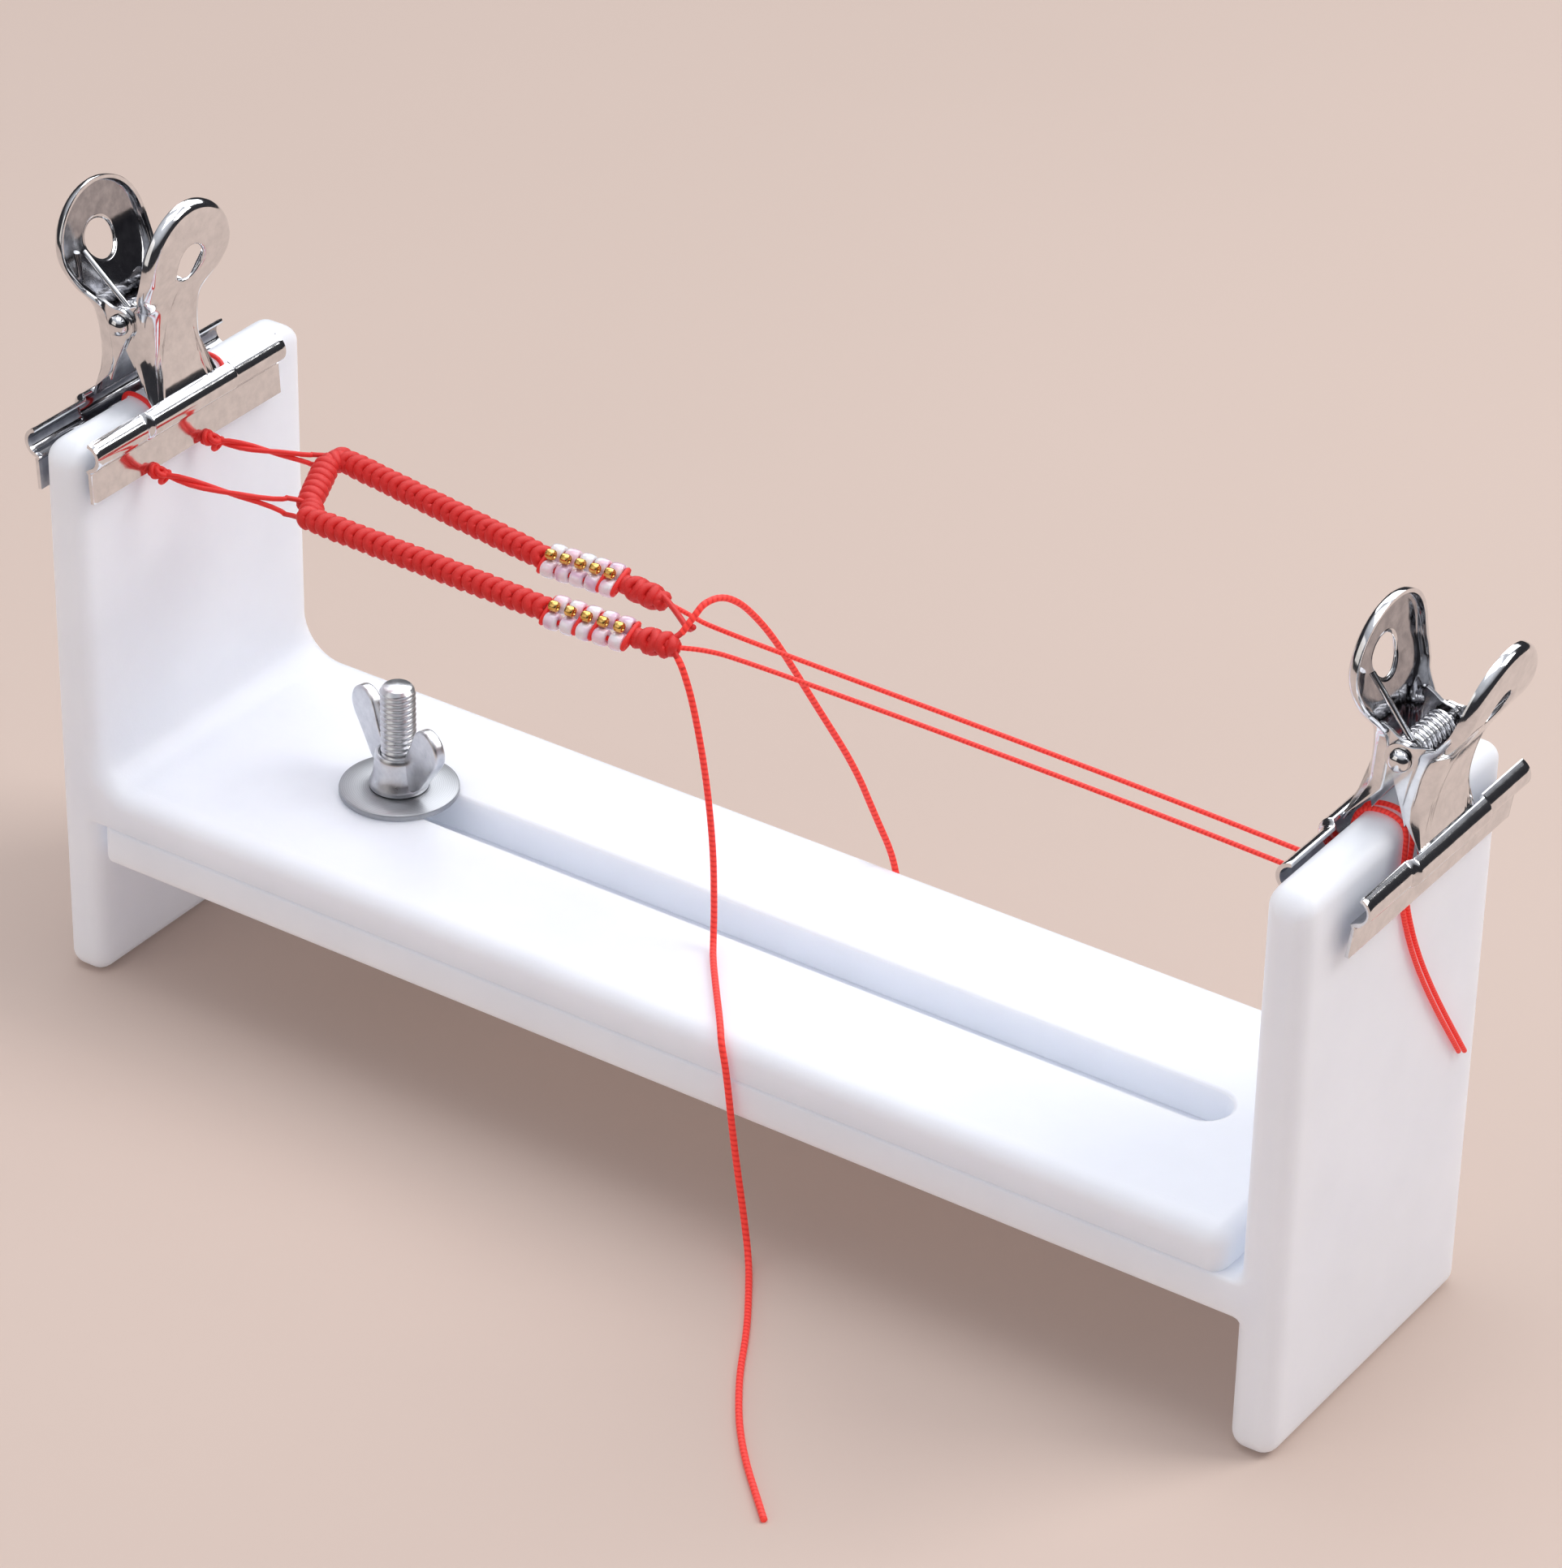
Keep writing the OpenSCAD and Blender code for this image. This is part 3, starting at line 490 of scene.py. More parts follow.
TAIL_FRONT = tail_route(-3.6, -1.2, -2.5, (231.6, 21, 48))
TAIL_BACK = tail_route(1, 0.8, -1.1, (231.6, 23, 47))
HANGING = [
    (105.8, -7.2, 87.2), (107, -7.4, 85.6), (109, -7.4, 80), (111.4, -7.2, 68), (113, -7.2, 55),
    (113.6, -7.6, 44), (114.2, -8.6, 38.7), (116.5, -12, 38.1), (122, -19, 38.2), (128.4, -27, 38.4),
    (130.5, -29.8, 37.4), (131.6, -29.8, 32), (133.4, -30.2, 20), (136.2, -31, 7), (138.6, -33, 0.9),
    (143, -39.4, 0.6), (148.6, -48, 0.6), (154.6, -59, 0.6), (163.6, -71.6, 0.6), (177, -84.6, 0.6)]
LOOPED = [
    (104.9, -4.9, 90.3), (105.4, -4.2, 91.4), (106, -2.8, 93), (106.4, -1, 94.4), (107.6, 2, 94.6),
    (108.8, 5, 92.6), (109.6, 8, 89.2), (111, 11, 84.6), (112.6, 14, 78.6), (115.4, 18, 69.4),
    (119.4, 23, 57.6), (121.6, 26.4, 47), (123.6, 29.2, 38.4), (124.4, 30, 30), (124.8, 30.6, 16),
    (125.2, 31.4, 4), (126, 33, 0.8), (129, 38, 0.6), (137, 46, 0.6), (150, 53, 0.6), (166, 57, 0.6)]
THREAD_D, CORE_D = 1.1, 0.8


def cord_piece(name, node, body, route, dia, mat, cuts=3):
    """A cord along its route, with the smoothed path and the length in metres."""
    p = smooth_path(route, cuts)
    ob = tube_obj(name, p, dia / 2, mat)
    if body:
        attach(ob, body)
    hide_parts(node)
    length = float(np.linalg.norm(np.diff(p, axis=0), axis=1).sum()) * MM
    return ob, p, length


for name, body, route, dia, mat, cuts in (
        ("hanging_cord", "base", HANGING, THREAD_D, THREAD, 3),
        ("looped_cord", "base", LOOPED, THREAD_D, THREAD, 3),
        ("tail_cord_front", "slider", TAIL_FRONT, CORE_D, CORE, 2),
        ("tail_cord_back", "slider", TAIL_BACK, CORE_D, CORE, 2)):
    ob, p, length = cord_piece(name + "_thread", name, body, route, dia, mat, cuts=cuts)

# An anchor is one strand over the upright, a small knot at the lip, and two strands on to the bar
STRAND_ENDS = {}
SPLAY_FROM = 0.72   # the strands run side by side as far as this share of the way
STRAND_R, STRAND_TURNS = 0.42, 1.1
KNOT_LOOPS = ((0, 0, 0, 0.3), (0.9, 0.3, -0.5, 1.2), (-0.5, -0.3, 0.5, 2.1), (0.5, 0.0, 0.5, 2.8))
for name, route, spread in (("anchor_cord_front", ANCHOR_FRONT, 1.9),
                            ("anchor_cord_back", ANCHOR_BACK, 0.8)):
    whole = smooth_path(route, 2)
    ends = STRAND_ENDS.setdefault(name, [])
    at_lip = int(np.argmin(np.linalg.norm(whole - np.array(route[LIP_POINT]), axis=1)))
    parts = [tube_part(whole[:at_lip + 1], CORE_D / 2, 12)]
    run = whole[at_lip:]
    t, n, b = frames_along(run)
    for sign in (-1, 1):
        strand = []
        for i, q in enumerate(run):
            u = i / (len(run) - 1)
            apart = STRAND_R + spread / 2 * max(0.0, u - SPLAY_FROM) / (1 - SPLAY_FROM)
            turn = 2 * math.pi * STRAND_TURNS * min(u, SPLAY_FROM)
            strand.append(q + sign * apart * (math.cos(turn) * b[i] + math.sin(turn) * n[i]))
        parts.append(tube_part(strand, STRAND_R, 10))
        ends.append(strand[-1])
    knot_at = np.array(route[LIP_POINT]) + (0.1, 0, -0.2)
    for dx, dy, dz, tilt in KNOT_LOOPS:
        loop = []
        for i in range(17):
            q = 2 * math.pi * i / 16
            u0 = np.array((math.cos(tilt), 0.2, math.sin(tilt)))
            u1 = np.array((0.1, 1.0, 0.3 * math.cos(tilt)))
            loop.append(knot_at + (dx, dy, dz) + 0.95 * math.cos(q) * u0 + 0.85 * math.sin(q) * u1)
        parts.append(tube_part(loop, 0.45, 10))
    ob = obj_from(name + "_strands", *join_parts(parts), CORD)
    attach(ob, "base")
    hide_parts(name)
for name, route in (("core_cord_front", CORE_FRONT), ("core_cord_back", CORE_BACK)):
    ob, _, _ = cord_piece(name + "_thread", name, None, route, CORE_D, CORE)
    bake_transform(ob)


# ---------------------------------------------------------------- mouldings
def draw_in(r, h):
    """How far a rounded edge of radius r has drawn in at the depth h."""
    return 0.0 if h >= r else r - math.sqrt(r * r - (r - h) ** 2)


def corner_arc(c0, c1, c2, h, steps):
    """The rounded corner c1 of an outline, drawn in to the depth h of its edges."""
    a, b, c = (np.array(q[:2], dtype=float) for q in (c0, c1, c2))
    d0 = (b - a) / np.linalg.norm(b - a)
    d1 = (c - b) / np.linalg.norm(c - b)
    in0, in1 = draw_in(c0[3], h), draw_in(c1[3], h)
    place = b + in0 * np.array([-d0[1], d0[0]]) + in1 * np.array([-d1[1], d1[0]])
    outward = d0[0] * d1[1] - d0[1] * d1[0] > 0
    r = max(c1[2] - (in0 + in1) / 2, 0.03) if outward else c1[2] + (in0 + in1) / 2
    n = steps if c1[2] >= 1 else 3
    turns = [math.pi / 2 * j / n for j in range(n + 1)]
    return [place + r * (d1 - d0) - r * math.cos(q) * d1 + r * math.sin(q) * d0 for q in turns]


def moulding(name, corners):
    """A moulded profile over the jig's depth: corners are (x, z, corner radius, edge radius)."""
    levels = [0, 0.008, 0.03, 0.07, 0.12, 0.19, 0.28, 0.38, 0.5, 0.64, 0.8, 1.0]
    widest = max(c[3] for c in corners)
    n = len(corners)

    def ring(h, y):
        pts = []
        for i in range(n):
            for q in corner_arc(corners[i - 1], corners[i], corners[(i + 1) % n], h, 10):
                pts.append((q[0], y, q[1]))
        return pts

    rings = [ring(t * widest, DEPTH / 2 - t * widest) for t in levels]
    rings += [ring(t * widest, t * widest - DEPTH / 2) for t in reversed(levels)]
    return obj_from(name, *skin(rings), PLASTIC)


def cut_out(ob, name, part):
    """Cuts a part out of an object's mesh."""
    cutter = obj_from("cutter", *part)
    bm = ob.modifiers.new(name, "BOOLEAN")
    bm.object = cutter
    bm.solver = "EXACT"
    dg = bpy.context.evaluated_depsgraph_get()
    me = bpy.data.meshes.new_from_object(ob.evaluated_get(dg))
    ob.modifiers.clear()
    old = ob.data
    ob.data = me
    bpy.data.meshes.remove(old)
    bpy.data.objects.remove(cutter)


def finish_moulding(ob, node, body):
    ob.data.shade_smooth()
    ob.data.set_sharp_from_angle(angle=math.radians(40))
    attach(ob, body)
    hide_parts(node)


def box_ring(half, z):
    """A square round the bolt."""
    return [(BOLT_X + sx * half, sy * half, z) for sx, sy in ((1, 1), (-1, 1), (-1, -1), (1, -1))]


left = moulding("left_frame_moulding", [
    (-HALF_T, 0, 3, 3), (HALF_T, 0, 3, 3), (HALF_T, SEAM_Z, 0.4, 0.6), (UPPER_END, SEAM_Z, 0.6, 3),
    (UPPER_END, DECK_Z, 3, 3), (HALF_T, DECK_Z, 7, 3), (HALF_T, HEIGHT, 3, 4.5), (-HALF_T, HEIGHT, 3, 3)])
slot_ring = []
for x_end, first in ((BOLT_X, math.pi / 2), (SLOT_END, -math.pi / 2)):
    for k in range(33):
        a = first + math.pi * k / 32
        slot_ring.append((x_end + SLOT_W / 2 * math.cos(a), SLOT_W / 2 * math.sin(a)))
cut_out(left, "slot", skin([[(x, y, z) for x, y in slot_ring] for z in (SEAM_Z - 3, DECK_Z + 3)]))
bv = left.modifiers.new("soft_edges", "BEVEL")
bv.width = 0.0006
bv.segments = 3
bv.limit_method = "ANGLE"
bv.angle_limit = math.radians(50)
finish_moulding(left, "left_frame", "base")

IN_X, OUT_X = RIGHT_X - HALF_T, RIGHT_X + HALF_T
right = moulding("right_frame_moulding", [
    (LOWER_START, FOOT_H, 1.6, 1.6), (IN_X, FOOT_H, 0.8, 3), (IN_X, 0, 3, 3), (OUT_X, 0, 3, 3),
    (OUT_X, HEIGHT, 3, 4.5), (IN_X, HEIGHT, 3, 3), (IN_X, SEAM_Z, 1.8, 0.6), (LOWER_START, SEAM_Z, 0.6, 3)])
cut_out(right, "neck_hole", skin([box_ring(HOLE_HALF, z) for z in (FOOT_H - 3, SEAM_Z + 3)]))
finish_moulding(right, "right_frame", "slider")


# ---------------------------------------------------------------- clamp
def at(x, y, z):
    return Matrix.Translation((x, y, z))


def bolt_part():
    """Carriage bolt: domed head, square neck, threaded shank with a chamfered end."""
    head_r, head_low, above_washer = 7.5, FOOT_H - 3.2, 18.8
    dome = [(0, head_low)]
    for k in range(1, 11):
        a = math.pi / 2 * (k / 10)
        dome.append((head_r * math.sin(a) ** 0.9, head_low + 3.0 * (1 - math.cos(a)) ** 1.15))
    dome += [(head_r - 0.05, FOOT_H), (0, FOOT_H)]
    neck = ((NECK_HALF, FOOT_H - 0.1), (NECK_HALF, FOOT_H + 5.4), (NECK_HALF - 0.4, FOOT_H + 6.0))
    parts = [placed(lathe(dome, 72), at(BOLT_X, 0, 0)), skin([box_ring(half, z) for half, z in neck])]
    top = WASHER_TOP + above_washer
    z0, pitch, depth, end_r, rings_per_turn, steps = FOOT_H + 5.5, 1.0, 0.32, 2.35, 8, 48
    count = int((top - z0) / pitch * rings_per_turn)
    rings = []
    for i in range(count + 1):
        z = z0 + (top - z0) * i / count
        ring = []
        for k in range(steps):
            ph = (z / pitch - k / steps) % 1.0
            tri = abs(2 * ph - 1)
            r = BOLT_R - depth * max(0.0, min(1.0, 1.25 * (1 - tri) - 0.1))
            r = min(r, end_r + (top - z) * 0.9)
            q = 2 * math.pi * k / steps
            ring.append((BOLT_X + r * math.cos(q), r * math.sin(q), z))
        rings.append(ring)
    parts.append(skin(rings))
    return join_parts(parts)


bolt = obj_from("clamp_bolt_threaded", *bolt_part(), ZINC, angle=50)
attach(bolt, "slider")
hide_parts("clamp_bolt")

disc = lathe([
    (3.25, 0.05), (3.35, 0), (9.7, 0), (9.9, 0.05), (10, 0.25), (10, 0.9), (9.94, 1.08), (9.75, 1.2),
    (3.4, 1.2), (3.25, 1.12), (3.2, 1.0), (3.2, 0.2), (3.25, 0.05)], 128)
washer = obj_from("washer_disc", *placed(disc, at(BOLT_X, 0, DECK_Z)), WASHER, angle=35)
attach(washer, "washer")
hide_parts("washer")


def wing_part():
    """A wing: round-ended blade that widens from the hub, with soft edges."""
    tip_r, tip_x, tip_z = 3.5, 9.0, 11.0
    outline = [(3.3, 0.9), (5.2, 1.2), (7.0, 2.6), (9.0, 5.2)]
    for k in range(0, 19):
        a = math.radians(-38 + 198 * k / 18)
        outline.append((tip_x + tip_r * math.cos(a) + 0.05, tip_z + tip_r * math.sin(a)))
    outline += [(4.4, 9.2), (3.4, 7.6), (2.9, 6.0)]
    pts = np.array(outline)
    centre = np.array([6.3, 6.5])
    rings = []
    half = ((0.55, 1.0), (0.25, 0.95), (0.05, 0.78), (0, 0.5))
    for inset, y in half + tuple((inset, -y) for inset, y in reversed(half)):
        ring = []
        for q in pts:
            dv = centre - q
            L = np.linalg.norm(dv)
            w = q + dv / L * inset
            thick = 1.0 + 0.35 * max(0.0, (6 - q[0]) / 6)
            ring.append((w[0], y * thick, w[1]))
        rings.append(ring)
    return skin(rings)


def wing_nut_part():
    hub = lathe([
        (3.06, 0.4), (3.4, 0), (4.7, 0), (4.95, 0.2), (5, 0.6), (4.9, 1.1), (4.55, 1.9), (4.3, 2.9),
        (4.15, 4.2), (4.05, 5.6), (3.95, 6.2), (3.7, 6.5), (3.4, 6.5), (3.06, 6.15), (3.06, 0.4)], 64)
    w = wing_part()
    parts = [hub, w, placed(w, Matrix.Rotation(math.pi, 4, "Z"))]
    m = at(BOLT_X, 0, WASHER_TOP) @ Matrix.Rotation(math.radians(-19), 4, "Z")
    return join_parts([placed(q, m) for q in parts])


nut = obj_from("wing_nut_cast", *wing_nut_part(), ZINC, angle=42)
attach(nut, "wing_nut")
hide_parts("wing_nut")

# ---------------------------------------------------------------- clips
# Heights are from the pin, x from the clip's middle plane. A clip is (x, y, drop below the top, lean).
JAW_W, SHEET, ROLL_R, LIP_H = 48.0, 0.7, 2.6, 5.6
BULGE_W, ROLL_STEP, ARM_W, EAR_W, ARM_X = 22.0, 0.85, 17.0, 15.2, 5.5
PIN_UP, PAD_R, PAD_Z, EYE_R = 21.0, 10.6, 10.2, 3.2
LIP_LOW = -PIN_UP - LIP_H / 2
LIP_HIGH = LIP_LOW + LIP_H
ROLL_Z = LIP_HIGH + ROLL_R
ARM_LOW = ROLL_Z + 0.8 * ROLL_R
RIM_R, WIDE_R = 1.7, 2.7     # bend of the edge round the handle, and at the ears
CORD_ROOM = 0.95             # between the upright and a lip
CLIPS = {"left": (0.0, -4.0, 6.6, -3.5), "right": (RIGHT_X, 4.5, 9.7, 8.0)}


def jaw_half(lean):
    """Distance of a lip from the clip's middle plane: the leaning lips just take upright and cords."""
    a = math.radians(abs(lean))
    return (HALF_T + CORD_ROOM) / math.cos(a) + LIP_H / 2 * math.tan(a)


def leaf_curve(j):
    """Side view of arm and handle: heights and the sheet's distance from the middle plane."""
    line = [(j + 0.45 * ROLL_R, ARM_LOW), (j + 0.15 * ROLL_R, ROLL_Z + 1.4 * ROLL_R), (ARM_X - 0.3, -6),
            (ARM_X, -1), (ARM_X + 0.8, 3), (ARM_X + 2.7, 7), (ARM_X + 4.3, PAD_Z),
            (ARM_X + 5, PAD_Z + 0.5 * PAD_R), (ARM_X + 5.4, PAD_Z + PAD_R + 1)]
    q = smooth_path(line, 4)
    return q[:, 1], q[:, 0]


def smoothstep(t):
    t = np.clip(t, 0, 1)
    return t * t * (3 - 2 * t)


def round_in(r, h):
    """How far a bend of radius r has drawn in at the distance h from its side."""
    h = np.minimum(h, r)
    return r - np.sqrt(np.maximum(r * r - (r - h) ** 2, 0))


def handle_edge(waist):
    """Half outline of arm and handle, from the bead up the side to the top: (y, z)."""
    pts = [(ARM_W / 2, ARM_LOW - 1), (ARM_W / 2 - 0.1, ARM_LOW + 2), (waist, -6.5), (waist, -3),
           (waist, 1.2), (waist + 0.7, 3.2)]
    for k in range(0, 15):
        a = math.radians(-24 + 114 * k / 14)
        pts.append((PAD_R * math.cos(a), PAD_Z + PAD_R * math.sin(a)))
    return smooth_path([(y, z, 0) for y, z in pts], 2)[:, :2]


def panel_part(j, waist):
    """Arm and handle: one pressed sheet in rows from the eye outwards.

    Its edge turns in, with a wide bend where the ears are.
    """
    zs, xs = leaf_curve(j)
    half = handle_edge(waist)
    edge = np.vstack([half, half[::-1][1:] * (-1, 1)])
    e0, e1 = edge[:-1], edge[1:]
    ev = e1 - e0
    el = (ev ** 2).sum(1)

    def edge_distance(y, z):
        q = np.stack([y, z], -1)[:, None, :] - e0[None]
        t = np.clip((q * ev[None]).sum(-1) / el[None], 0, 1)
        return np.linalg.norm(q - t[..., None] * ev[None], axis=-1).min(1)

    def inside(y, z):
        width = np.where(z < half[:, 1].max(), np.interp(z, half[:, 1], half[:, 0]), -1)
        return (z > ARM_LOW) & (np.abs(y) < width)

    K = 208
    a = 2 * math.pi * np.arange(K) / K
    dy, dz = np.sin(a), -np.cos(a)
    lo, hi = np.full(K, EYE_R), np.full(K, 60.0)
    for _ in range(26):
        mid = (lo + hi) / 2
        ok = inside(mid * dy, PAD_Z + mid * dz)
        lo, hi = np.where(ok, mid, lo), np.where(ok, hi, mid)
    R = lo

    def radius_at(dist):
        """Where each ray comes within a distance of the edge."""
        lo, hi = np.full(K, EYE_R + 0.9), R.copy()
        for _ in range(22):
            mid = (lo + hi) / 2
            ok = edge_distance(mid * dy, PAD_Z + mid * dz) > dist
            lo, hi = np.where(ok, mid, lo), np.where(ok, hi, mid)
        return lo

    rows = []
    for grow, inward in ((0.0, 0.5), (0.07, 0.25), (0.3, 0.06), (0.8, 0.0)):
        rows.append((np.full(K, EYE_R + grow), inward, 0.0))
    start = np.minimum(radius_at(WIDE_R), R - 0.5)
    for t in (0.12, 0.25, 0.38, 0.5, 0.62, 0.74, 0.86, 1.0):
        rows.append((EYE_R + 0.8 + t * (start - EYE_R - 0.8), 0.0, 0.0))
    dists = [2.2, 1.7, 1.3, 0.95, 0.66, 0.42, 0.24, 0.1, 0.03, 0.0]
    for i, dist in enumerate(dists):
        rows.append((np.minimum(radius_at(dist), R - 0.035 * (len(dists) + 1 - i)), 0.0, 0.0))
    rows += [(R - 0.01, 0.0, 0.5), (R, 0.0, 1.0)]
    verts = []
    for r, inward, skirt in rows:
        y, z = r * dy, PAD_Z + r * dz
        dist = edge_distance(y, z)
        ear = smoothstep((z + 10.5) / 2.5) * smoothstep((5.5 - z) / 3.0)
        bend = RIM_R + (WIDE_R - RIM_R) * ear
        turn = smoothstep((z - ARM_LOW - 0.3) / 4.2)
        near = (dist < 0.06).astype(float)
        off = (round_in(bend, dist) + skirt * near * (0.35 + 0.6 * ear)) * turn + inward
        x = np.interp(z, zs, xs) + SHEET / 2 - off
        verts += [(float(p0), float(p1), float(p2)) for p0, p1, p2 in zip(x, y, z)]
    faces = []
    for i in range(len(rows) - 1):
        for k in range(K):
            a0, b0 = i * K + k, i * K + (k + 1) % K
            faces.append((a0, a0 + K, b0 + K, b0))
    return verts, faces


def jaw_part(j):
    """Lip and rolled bead over the whole jaw, bulging further out in the middle."""
    half = BULGE_W / 2
    ys = sorted(set([round(-JAW_W / 2 + JAW_W * i / 48, 3) for i in range(49)]
                    + [s * (half + v) for s in (-1, 1) for v in (-0.7, -0.45, -0.2, 0.0, 0.2, 0.45, 0.7)]))
    verts = []
    prof = [(0, LIP_LOW), (0, LIP_LOW + 0.4), (0, LIP_LOW + 3), (0, LIP_HIGH - 0.6), (0.05, LIP_HIGH - 0.2)]
    arc = []
    for q in range(0, 21):
        a = math.radians(-82 + 160 * q / 20)
        arc.append((ROLL_R * math.cos(a), ROLL_R * math.sin(a)))
    for y in ys:
        raised = float(smoothstep((half + 0.5 - abs(y)) / 1.0))
        for x, z in prof:
            verts.append((j + SHEET + x, y, z))
        for i, (x, z) in enumerate(arc):
            g = raised * smoothstep(i / 5.0)
            verts.append((j + x + ROLL_STEP * g, y, ROLL_Z + z + 0.45 * g))
    m = len(prof) + len(arc)
    faces = []
    for i in range(len(ys) - 1):
        for k in range(m - 1):
            a, b = i * m + k, (i + 1) * m + k
            faces.append((a, b, b + 1, a + 1))
    return verts, faces


def ear_part(y):
    """An ear: a flat plate round the pin that runs up and down into the arm."""
    boss = 2.7
    outline = []
    for k in range(0, 25):
        a = math.radians(80 + (240 - 80) * k / 24)
        outline.append((boss * math.cos(a), boss * math.sin(a)))
    outline += [(-0.2, -4.2), (1.0, -6.4), (2.4, -9.2), (3.0, -10.6), (3.6, -9.0), (3.7, -4), (3.8, -1),
                (4.1, 1.6), (4.9, 3.8), (4.2, 4.0), (2.8, 3.5), (1.6, 2.9)]
    t, bev = SHEET, 0.12
    pts = np.array(outline)
    centre = np.array([1.2, -1.5])
    rings = []
    for inset, yy in ((bev, -t / 2), (0, -t / 2 + bev), (0, t / 2 - bev), (bev, t / 2)):
        ring = []
        for q in pts:
            dv = centre - q
            w = q + dv / (np.linalg.norm(dv) + 1e-9) * inset
            ring.append((w[0], y + yy, w[1]))
        rings.append(ring)
    return skin(rings)


def clip_matrix(side):
    """From the clip's own frame, with the pin at its origin, to the jig's."""
    x, y, drop, lean = CLIPS[side]
    return at(x, y, HEIGHT - drop) @ Matrix.Rotation(math.radians(lean), 4, "Y") @ at(0, 0, PIN_UP)


def make_leaf(node, side, body, mirrored, ear_y):
    """One leaf with its two ears."""
    name = node + "_sheet"
    j = jaw_half(CLIPS[side][3])
    m = clip_matrix(side)
    if mirrored:
        m = m @ Matrix.Scale(-1, 4, Vector((1, 0, 0)))
    sheet = join_parts([panel_part(j, ear_y + 0.4), jaw_part(j)])
    ob = obj_from(name, *placed(sheet, m), NICKEL, angle=60)
    # The second material is the darker copy: painted shade on the sheet's inner side
    ob.data.materials.append(NICKEL_SHADED_INSIDE)
    so = ob.modifiers.new("sheet", "SOLIDIFY")
    so.thickness = SHEET * MM * 0.95
    so.offset = -1.0
    so.use_even_offset = False
    so.use_rim = True
    so.material_offset = 1
    be = ob.modifiers.new("edge", "BEVEL")
    be.width = 0.00012
    be.segments = 2
    be.limit_method = "ANGLE"
    be.angle_limit = math.radians(60)
    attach(ob, body)
    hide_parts(node)
    pair = join_parts([ear_part(ear_y), ear_part(-ear_y)])
    ears = obj_from(name + "_ears", *placed(pair, m), NICKEL, angle=35)
    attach(ears, body)


OUT_EAR = EAR_W / 2 - 0.41
IN_EAR = OUT_EAR - 0.8
make_leaf("left_clip_outer_leaf", "left", "left_clip", True, OUT_EAR)
make_leaf("left_clip_inner_leaf", "left", "left_clip_leaf", False, IN_EAR)
make_leaf("right_clip_outer_leaf", "right", "right_clip", False, OUT_EAR)
make_leaf("right_clip_inner_leaf", "right", "right_clip_leaf", True, IN_EAR)


PIN_R, WIRE, TURNS = 1.2, 1.0, 7


def pin_part():
    """Pin with a riveted head at each end."""
    half = EAR_W / 2 + 0.1
    head = [(0, 1.6), (0.5, 1.58), (1.0, 1.45), (1.4, 1.15), (1.65, 0.75), (1.78, 0.35), (1.8, 0.0)]
    shank = [(PIN_R, -half), (PIN_R, half)]
    prof = [(r, -half - h) for r, h in head] + shank + [(r, half + h) for r, h in reversed(head)]
    return placed(lathe(prof, 48), Matrix.Rotation(math.radians(90), 4, "X"))


COIL_R = PIN_R + 0.5 + WIRE / 2
PITCH = WIRE + 0.45
COIL_HALF = TURNS * PITCH / 2


def spring_paths():
    """The coil round the pin and its two legs, which end under the handles."""
    zs, xs = leaf_curve(HALF_T)
    leg_z = 10.0
    leg_x = float(np.interp(leg_z, zs, xs)) - SHEET / 2 - 0.6 * WIRE - 0.25
    ang = math.atan2(leg_z, leg_x) - math.acos(COIL_R / math.hypot(leg_x, leg_z))
    sweep = 2 * math.pi * TURNS + math.pi - 2 * ang
    n = 28 * TURNS
    coil = []
    for i in range(n + 1):
        q = ang - sweep * i / n
        y = COIL_HALF - 2 * COIL_HALF * i / n
        coil.append(np.array((COIL_R * math.cos(q), y, COIL_R * math.sin(q))))
    a = np.array((leg_x, COIL_HALF, leg_z))
    b = np.array((-leg_x, -COIL_HALF, leg_z))
    leg_a = [a + (coil[0] - a) * t for t in (0, 0.15, 0.4, 0.7, 0.9)]
    leg_b = [coil[-1] + (b - coil[-1]) * t for t in (0.1, 0.3, 0.6, 0.85, 1.0)]
    return leg_a, coil, leg_b


for side in ("left", "right"):
    m = clip_matrix(side)
    pin = obj_from(side + "_clip_pin_riveted", *placed(pin_part(), m), NICKEL, angle=50)
    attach(pin, side + "_clip")
    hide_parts(side + "_clip_pin")
    leg_a, coil, leg_b = spring_paths()
    # leg_a lies on the +X handle: the left clip's moving leaf, the right clip's fixed one
    if side == "left":
        fixed, moving = coil + leg_b, leg_a + [coil[0]]
    else:
        fixed, moving = leg_a + coil, [coil[-1]] + leg_b
    for what, path, body in (("coil", fixed, side + "_clip"), ("leg", moving, side + "_clip_leaf")):
        wire = placed(tube_part(path, WIRE / 2, 14), m)
        ob = obj_from(side + "_clip_spring_" + what, *wire, NICKEL, angle=60)
        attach(ob, body)
        if what == "coil":
            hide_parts(side + "_clip_spring")

# ---------------------------------------------------------------- bracelet
BRAID_D = 4.6
BAR = ((31, -4.6, WORK_Z), (24.8, 8.4, WORK_Z))
# A leg starts at the bar, turns into beads, then a knot, and ends; last its knot's width
LEGS = {
    "front": ((32.4, -7.6, WORK_Z), (82, -8.8, WORK_Z), (97.6, -7.8, WORK_Z), (105.2, -6.4, WORK_Z), 4.6),
    "back": ((24.4, 11.4, WORK_Z), (72, 4.2, WORK_Z), (86.4, 5, WORK_Z), (95.6, 4, WORK_Z), 4.4)}


